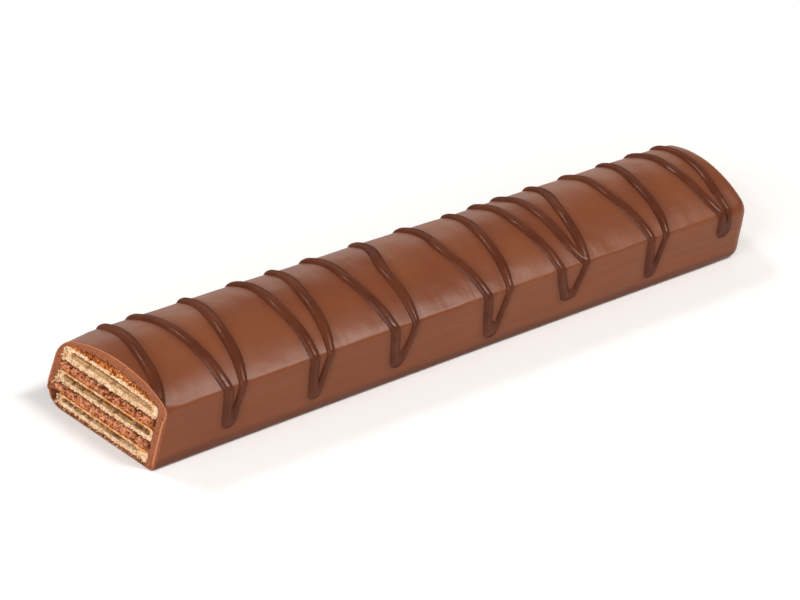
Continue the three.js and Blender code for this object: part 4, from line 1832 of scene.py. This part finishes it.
def slope_at(before: Array, here: Array, after: Array) -> Array:
    """The direction of a smooth line at a place, from its neighbours."""
    first, second = np.hypot(*(here - before)), np.hypot(*(after - here))
    return ((here - before) / first * second + (after - here) / second * first) / (first + second)


def smooth_path(places: Sequence[Span], spacing: float = 0.3) -> Array:
    """A smooth line through places.

    Args:
        places: places (x, station).
        spacing: distance between the line's points.

    Returns:
        Its points (x, station).
    """
    given = np.array(places, float)
    given = np.vstack([2 * given[0] - given[1], given, 2 * given[-1] - given[-2]])
    pieces = []
    for i in range(1, len(given) - 2):
        before, start, stop, after = given[i - 1 : i + 3]
        length = np.hypot(*(stop - start))
        t = np.linspace(0, 1, max(int(length / spacing), 1), endpoint=False)[:, None]
        leaving = slope_at(before, start, stop) * length
        arriving = slope_at(start, stop, after) * length
        piece = (2 * t**3 - 3 * t**2 + 1) * start + (t**3 - 2 * t**2 + t) * leaving
        pieces.append(piece + (-2 * t**3 + 3 * t**2) * stop + (t**3 - t**2) * arriving)
    return np.vstack([*pieces, given[-2]])


@dataclass
class Drizzle:
    """The dark zigzag thread, poured over the coat in one stream that turned on both sides."""

    form: BarForm
    skin: CoatSkin
    back_width: float = 0.98
    dome_width: float = 0.90
    side_width: float = 0.62
    left_width: float = 0.86
    left_shift: float = 0.2
    thinning: Span = (6.0, 12.5)
    back_swelling: Span = (3.0, 9.0)
    back_thinning: Span = (12.5, 15.5)
    height: float = 0.52
    drop_height: float = 0.50
    steepness: float = 2.7
    groove: float = 0.16
    groove_reach: float = 0.62
    groove_patches: Span = (0.38, 0.62)
    ripple_waves: float = 260.0
    swell_waves: float = 90.0
    arm_swell: Span = (0.86, 0.28)
    drop_swell: Span = (0.9, 0.2)
    evening: int = 2
    sunk: float = 0.4
    skirt: float = 0.22
    melt: float = 0.12
    arm_spread: float = 0.7
    back_turn: float = -17.5
    back_turn_lean: float = -1.0
    back_shoulder: float = -12.0
    left_lean: float = -1.6
    right_lean: float = -0.6
    back_lobe: float = 1.35
    back_drop: float = 0.2
    end_lobe: float = 1.0
    end_drop: float = 0.6
    first_arm: tuple[float, ...] = (-54.8, -55.0, -55.9, -57.2)
    extra_arm: tuple[float, ...] = (20.5, 21.0, 21.6)
    extra_end: Span = (22.3, 10.2)
    columns: int = 760
    rows: int = 150
    reach: Span = (-19.9, 20.6)

    def pour(self, lines: PouredLines, places: Sequence[Span], front: float) -> None:
        """Adds an arm, which is widest on the back shoulder and thins down the back.

        Args:
            lines: the lines that it joins.
            places: its places (x, station).
            front: its half width on the front side.
        """
        path = smooth_path(places)
        station = path[:, 1]
        widths = blend(self.dome_width, front, smoothstep(station, *self.thinning))
        on_back = smoothstep(-station, *self.back_swelling) * falling(-station, *self.back_thinning)
        down_back = smoothstep(-station, *self.back_thinning)
        widths = widths + (self.back_width - self.dome_width) * on_back
        lines.add(path, widths + (self.side_width - self.dome_width) * down_back)

    def over(self, back: float, xs: Sequence[float], lean: float) -> list[Span]:
        """An arm's places (x, station) from its turn on the back over the bar to the front."""
        return [(back, self.back_turn), (xs[0] + lean, self.back_shoulder), *zip(xs, STATIONS)]

    def lay_out(self) -> tuple[PouredLines, PouredLines]:
        """The zigzag's arms, and the drops in which they meet."""
        arms, drops = PouredLines("arm_lines"), PouredLines("drop_lines")
        rights = [self.first_arm] + [turn.right for turn in FRONT_TURNS]
        last = FRONT_TURNS[-1].right[0] + self.arm_spread
        backs = [(t.left[0] + right[0]) / 2 + self.back_turn_lean for t, right in zip(FRONT_TURNS, rights)]
        after = [back - self.arm_spread for back in backs[1:]] + [last]
        for turn, back, following in zip(FRONT_TURNS, backs, after):
            low = turn.tip - turn.lobe
            reach = turn.lobe + turn.spread - self.side_width
            places = (*turn.left[:3], turn.left[3] + self.left_shift)
            left = self.over(back + self.arm_spread, places, self.left_lean)
            right = self.over(following, turn.right, self.right_lean)
            self.pour(arms, [*left, (turn.at - reach + self.left_shift, low - 0.3)], self.left_width)
            self.pour(arms, [*right, (turn.at + reach, low - 0.3)], self.side_width)
            high = min(turn.notch + turn.lobe, low - 0.1)
            drops.add([(turn.at, high), (turn.at, low)], np.full(2, turn.lobe))
            if turn.spread:
                beside = [(turn.at + side * turn.spread, low - 0.1) for side in (-1, 1)]
                drops.add([beside[0], (turn.at, low), beside[1]], np.full(3, turn.lobe))
            lowest = self.back_turn - self.back_drop
            drops.add([(back, self.back_turn), (back, lowest)], np.full(2, self.back_lobe))
        first = self.over(backs[0] - self.arm_spread, self.first_arm, self.right_lean)
        self.pour(arms, first, self.side_width)
        start = self.extra_arm[0] + self.left_lean
        extra = [*self.over(start, self.extra_arm, self.left_lean), self.extra_end]
        self.pour(arms, extra, self.side_width)
        for end in (start, last):
            lowest = self.back_turn - self.end_drop
            drops.add([(end, self.back_turn), (end, lowest)], np.full(2, self.end_lobe))
        return arms, drops

    def sheet(self) -> Object:
        """A grid on the skin that knows its flat place, its place in space and its outward direction."""
        across = np.linspace(0, 1, self.columns)
        station = np.linspace(*self.reach, self.rows)
        start = self.skin.at_cut(self.skin.share_of(np.full_like(station, -self.form.far), station))
        x = blend(start[:, None], self.form.far - self.form.end_rounding, across)
        flat = np.broadcast_to(station[:, None], x.shape)
        share = self.skin.share_of(x, flat)
        place = self.form.leaned(self.skin.surface(x, share)).reshape(-1, 3)
        made = mesh_object("drizzle", shifted(place), faces=grid_faces(numbered(x.shape)))
        store(made, "flat", np.stack([x, flat, 0 * x], -1) * MM)
        store(made, "outward", np.concatenate([0 * x[..., None], self.skin.outward(x, share)], -1))
        return made

    def share_inside(self, nodes: Nodes, lines: Any, flat: Any) -> Number:
        """How far a place lies from a line.

        Args:
            nodes: the tree.
            lines: the socket of the lines' object.
            flat: the flat place.

        Returns:
            The distance as a share of the line's half width there.
        """
        shape = nodes.add("GeometryNodeObjectInfo", {"Object": lines}).outputs["Geometry"]
        inputs = {0: shape, "Sample Position": flat}
        distance = nodes.add("GeometryNodeProximity", inputs, target_element="EDGES")
        inputs = {"Geometry": shape, "Sample Position": flat}
        index = nodes.add("GeometryNodeSampleNearest", inputs, domain="POINT")
        inputs = {"Geometry": shape, "Value": nodes.stored("half_width"), "Index": index}
        found = nodes.add("GeometryNodeSampleIndex", inputs, data_type="FLOAT", domain="POINT")
        return nodes.number(distance, "Distance") / nodes.number(found)

    def risen(self, nodes: Nodes, given: Node, flat: Any) -> Number:
        """How far the thread stands over the skin.

        Args:
            nodes: the tree.
            given: the node that gives the tree's inputs.
            flat: the flat place.

        Returns:
            The height, which is negative away from the thread.
        """
        names = ("Height", "Drop Height", "Steepness", "Groove", "Melt")
        height, drop_height, steepness, groove, melt = (nodes.number(given, name) for name in names)
        arm, drop = (self.share_inside(nodes, given.outputs[name], flat) for name in ("Arms", "Drops"))
        ripple = nodes.noise(flat, self.ripple_waves, 2.0)
        swell = nodes.noise(flat, self.swell_waves, 1.0)
        low, more = self.arm_swell
        arm_rise = height * (low + more * swell) * (1 - arm**steepness)
        cleft = (1 - arm.between(0.0, self.groove_reach)) * ripple.between(*self.groove_patches)
        cleft = cleft * groove * height
        low, more = self.drop_swell
        drop_rise = drop_height * (low + more * swell) * (1 - drop**steepness)
        return (arm_rise - cleft).melted(drop_rise, melt)

    def tree(self) -> NodeTree:
        """The node tree that raises the skin into thread wherever a poured line lies near."""
        sockets = {"Skin": "Geometry", "Arms": "Object", "Drops": "Object", "Height": "Float"}
        sockets |= {"Drop Height": "Float", "Steepness": "Float", "Groove": "Float", "Melt": "Float"}
        sockets |= {"Skirt": "Float", "Sunk": "Float", "Evening": "Int", "Chocolate": "Material"}
        nodes, given = Nodes.of_geometry("poured_thread", sockets, "Thread")
        flat, outward = (nodes.stored(name, VECTOR) for name in ("flat", "outward"))
        place = nodes.add("GeometryNodeInputPosition")
        risen = self.risen(nodes, given, flat)
        inputs = {"Geometry": given.outputs["Skin"], "Name": "rise", "Value": risen}
        kept = nodes.add("GeometryNodeStoreNamedAttribute", inputs, data_type="FLOAT", domain="POINT")
        rise = nodes.stored("rise")
        inputs = {"Value": rise, "Iterations": given.outputs["Evening"]}
        evened = nodes.add("GeometryNodeBlurAttribute", inputs, data_type="FLOAT")
        inputs = {"A": rise, "B": 0 - nodes.number(given, "Skirt")}
        outside = nodes.add("FunctionNodeCompare", inputs, operation="LESS_THAN", data_type="FLOAT")
        inputs = {"Geometry": kept, "Selection": outside}
        kept = nodes.add("GeometryNodeDeleteGeometry", inputs, domain="POINT")
        top = nodes.along(outward, nodes.number(evened), place)
        inputs = {"Geometry": kept, "Name": "top", "Value": top}
        kept = nodes.add("GeometryNodeStoreNamedAttribute", inputs, data_type=VECTOR, domain="POINT")
        under = nodes.along(outward, 0 - nodes.number(given, "Sunk"), place)
        bottom = nodes.add("GeometryNodeSetPosition", {"Geometry": kept, "Position": under})
        grown_up = nodes.add("GeometryNodeExtrudeMesh", {"Mesh": bottom, "Individual": False}, mode="FACES")
        inputs = {"Geometry": grown_up, "Selection": grown_up.outputs["Top"]}
        inputs["Position"] = nodes.stored("top", VECTOR)
        raised = nodes.add("GeometryNodeSetPosition", inputs)
        closing = nodes.add("GeometryNodeFlipFaces", {"Mesh": bottom})
        joined = nodes.add("GeometryNodeJoinGeometry")
        nodes.plug(joined.inputs[0], raised)
        nodes.plug(joined.inputs[0], closing)
        welded = nodes.add("GeometryNodeMergeByDistance", {"Geometry": joined, "Distance": 1e-6})
        smooth = nodes.add("GeometryNodeSetShadeSmooth", {"Geometry": welded})
        real = nodes.add("GeometryNodeRealizeInstances", {"Geometry": smooth})
        inputs = {"Geometry": real, "Material": given.outputs["Chocolate"]}
        nodes.add("NodeGroupOutput", {"Thread": nodes.add("GeometryNodeSetMaterial", inputs)})
        return nodes.tree

    def build(self, chocolate: Material) -> Object:
        """Makes the thread, cut off flush where its first arm meets the cut.

        Args:
            chocolate: its finish.

        Returns:
            The thread.
        """
        arms, drops = (lines.build() for lines in self.lay_out())
        lengths = {"Height": self.height, "Drop Height": self.drop_height, "Melt": self.melt}
        lengths |= {"Skirt": self.skirt, "Sunk": self.sunk}
        sizes = {name: length * MM for name, length in lengths.items()}
        sizes |= {"Arms": arms, "Drops": drops, "Steepness": self.steepness, "Groove": self.groove}
        sizes |= {"Evening": self.evening, "Chocolate": chocolate}
        made = grown(self.sheet(), self.tree(), sizes)
        for lines in (arms, drops):
            bpy.data.objects.remove(lines)
        points = np.zeros(len(made.data.vertices) * 3, np.float32)
        made.data.vertices.foreach_get("co", points)
        points = points.reshape(-1, 3)
        cut = (self.form.cut_x(points[:, 1] / MM, points[:, 2] / MM) + origin_shift()) * MM
        points[:, 0] = np.maximum(points[:, 0], cut)
        made.data.vertices.foreach_set("co", points.ravel())
        made.data.update()
        return made


# Floor, lights and camera


@dataclass(frozen=True)
class SoftBox:
    """A soft light that faces the bar, with its place and its size in metres."""

    name: str
    place: tuple[float, float, float]
    size: Span
    watts: float
    tint: Colour = WHITE

    def build(self) -> None:
        """Hangs the light."""
        data = bpy.data.lights.new(self.name, "AREA")
        data.shape = "RECTANGLE"
        data.size, data.size_y = self.size
        data.energy = self.watts
        data.color = self.tint[:3]
        place = Vector(self.place)
        turned = place.to_track_quat("Z", "Y").to_matrix().to_4x4()
        linked(self.name, data).matrix_world = Matrix.Translation(place) @ turned


@dataclass(frozen=True)
class Studio:
    """Floor, light and camera of the picture."""

    azimuth: float = math.radians(-40.806)
    elevation: float = math.radians(38.968)
    roll: float = math.radians(9.046)
    distance: float = 331.3
    focal_pixels: float = 2000.0
    centre_x: float = 30.073
    centre_y: float = 16.781
    picture_width: float = 800.0
    sensor: float = 36.0
    clip: Span = (0.01, 20.0)
    floor_reach: float = 3.0
    surroundings: float = 0.24
    lights: tuple[SoftBox, ...] = (
        SoftBox("shoulder_strip", (0.41, -0.26, 0.87), (0.10, 0.29), 5.8, (1.0, 0.94, 0.89, 1.0)),
        SoftBox("overhead", (-0.50, -0.10, 0.36), (0.30, 0.30), 1.25),
        SoftBox("front", (-0.38, -0.52, 0.25), (0.40, 0.35), 0.98),
        SoftBox("edge_fill", (0.44, -0.74, 0.34), (0.4, 0.6), 0.55),
        SoftBox("cut_fill", (-0.88, 0.16, 0.14), (0.4, 0.3), 1.7),
        SoftBox("behind", (0.45, 0.85, 0.15), (0.9, 0.3), 1.3, (1.0, 0.89, 0.79, 1.0)),
        SoftBox("thread_glint", (-0.22, 0.52, 0.68), (0.2, 0.12), 1.6),
    )

    def camera(self) -> None:
        """Sets up the camera at the photograph's viewpoint."""
        azimuth, elevation = self.azimuth, self.elevation
        flat = math.cos(elevation)
        back = Vector((math.sin(azimuth) * flat, -math.cos(azimuth) * flat, math.sin(elevation)))
        level = Vector((math.cos(azimuth), math.sin(azimuth), 0.0))
        upright = back.cross(level)
        right = level * math.cos(self.roll) + upright * math.sin(self.roll)
        up = upright * math.cos(self.roll) - level * math.sin(self.roll)
        data = bpy.data.cameras.new("camera")
        data.lens = self.focal_pixels * self.sensor / self.picture_width
        data.sensor_width = self.sensor
        data.shift_x = -self.centre_x / self.picture_width
        data.shift_y = self.centre_y / self.picture_width
        data.clip_start, data.clip_end = self.clip
        camera = linked("camera", data)
        place = (back * self.distance + Vector((origin_shift(), 0, 0))) * MM
        camera.matrix_world = Matrix.Translation(place) @ Matrix((right, up, back)).transposed().to_4x4()
        bpy.context.scene.camera = camera

    def floor(self) -> None:
        """Lays the floor."""
        reach = self.floor_reach / MM
        corners = np.array([(-reach, -reach, 0), (reach, -reach, 0), (reach, reach, 0), (-reach, reach, 0)])
        floor = mesh_object("floor", corners, faces=[(0, 1, 2, 3)])
        floor.data.materials.append(StudioFloor().build())

    def build(self) -> None:
        """Adds floor, lights, surroundings and camera."""
        self.floor()
        for light in self.lights:
            light.build()
        world = bpy.data.worlds.new("surroundings")
        world.use_nodes = True
        background = world.node_tree.nodes["Background"]
        background.inputs["Color"].default_value = WHITE
        background.inputs["Strength"].default_value = self.surroundings
        bpy.context.scene.world = world
        bpy.context.scene.view_settings.view_transform = "Standard"
        self.camera()


# The whole bar


def finish_piece(made: Object, material: Material, node: str = "") -> None:
    """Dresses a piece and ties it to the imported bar.

    Args:
        made: the piece.
        material: its finish.
        node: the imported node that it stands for, if there is one.
    """
    if not made.data.materials:
        made.data.materials.append(material)
    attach(made, ROOT)
    if node:
        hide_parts(node)
    made.data.calc_loop_triangles()
    LOG.info("%s: %d triangles", made.name, len(made.data.loop_triangles))


def build_layers(form: BarForm, room: Filling) -> tuple[Layer, ...]:
    """The layers of the filling from the bottom up."""
    return (
        WaferSheet(
            "wafer_bottom", low=0.4, high=2.6, seed=21, form=form, room=room, broken_back=8.3, hollow=True,
            slot=(7.4, 7.8), slot_floor=0.36, slot_roof=0.77, slot_shade=0.56, slot_breaks=0.35,
        ),
        CreamLayer("cream_lower", low=2.6, high=4.15, seed=22, form=form, room=room),
        WaferSheet(
            "wafer_middle", low=4.15, high=6.55, seed=23, form=form, room=room, trickle=True,
            slot=(8.8, 8.6), slot_floor=0.32, slot_roof=0.80, slot_shade=0.50,
        ),
        CreamLayer("cream_upper", low=6.55, high=8.05, seed=24, form=form, room=room),
        WaferSheet(
            "wafer_top", low=8.05, high=10.75, seed=25, form=form, room=room, arch=1.3, lid_corner=0.9,
            slot=(8.3, 8.1), slot_floor=0.36, slot_roof=0.74, slot_shade=0.12, crust_rise=0.32,
        ),
    )


def main() -> None:
    """Builds the bar piece by piece, then the studio."""
    logging.basicConfig(level=logging.INFO, format="%(message)s")
    form, room = BarForm(), Filling()
    skin = CoatSkin(form)
    kinds = (MilkChocolate(), DarkDrizzle(), BakedWafer(), HazelnutCream())
    finishes = {Food(kind.name): kind.build() for kind in kinds}
    drizzle = Drizzle(form, skin)
    coat = Coat(form, skin, room).build(drizzle.lay_out()[0])
    finish_piece(coat, finishes[Food.MILK], "chocolate_coat")
    thread = drizzle.build(finishes[Food.DARK])
    finish_piece(thread, finishes[Food.DARK], "chocolate_coat")
    layers = build_layers(form, room)
    wafer_crumbs = Crumbs("wafer_crumbs", form, room, seed=31, roughness=1.5)
    cream_grains = Crumbs("cream_grains", form, room, seed=41, roughness=0.9)
    for crumbs, food in ((wafer_crumbs, Food.WAFER), (cream_grains, Food.CREAM)):
        random = np.random.default_rng(crumbs.seed + 1)
        for layer in layers:
            if layer.food is food:
                layer.shed(crumbs, random)
        finish_piece(crumbs.build(finishes[food]), finishes[food])
    for layer in layers:
        finish_piece(layer.build(), finishes[layer.food], layer.node)
    Studio().build()


if __name__ == "__main__":
    main()
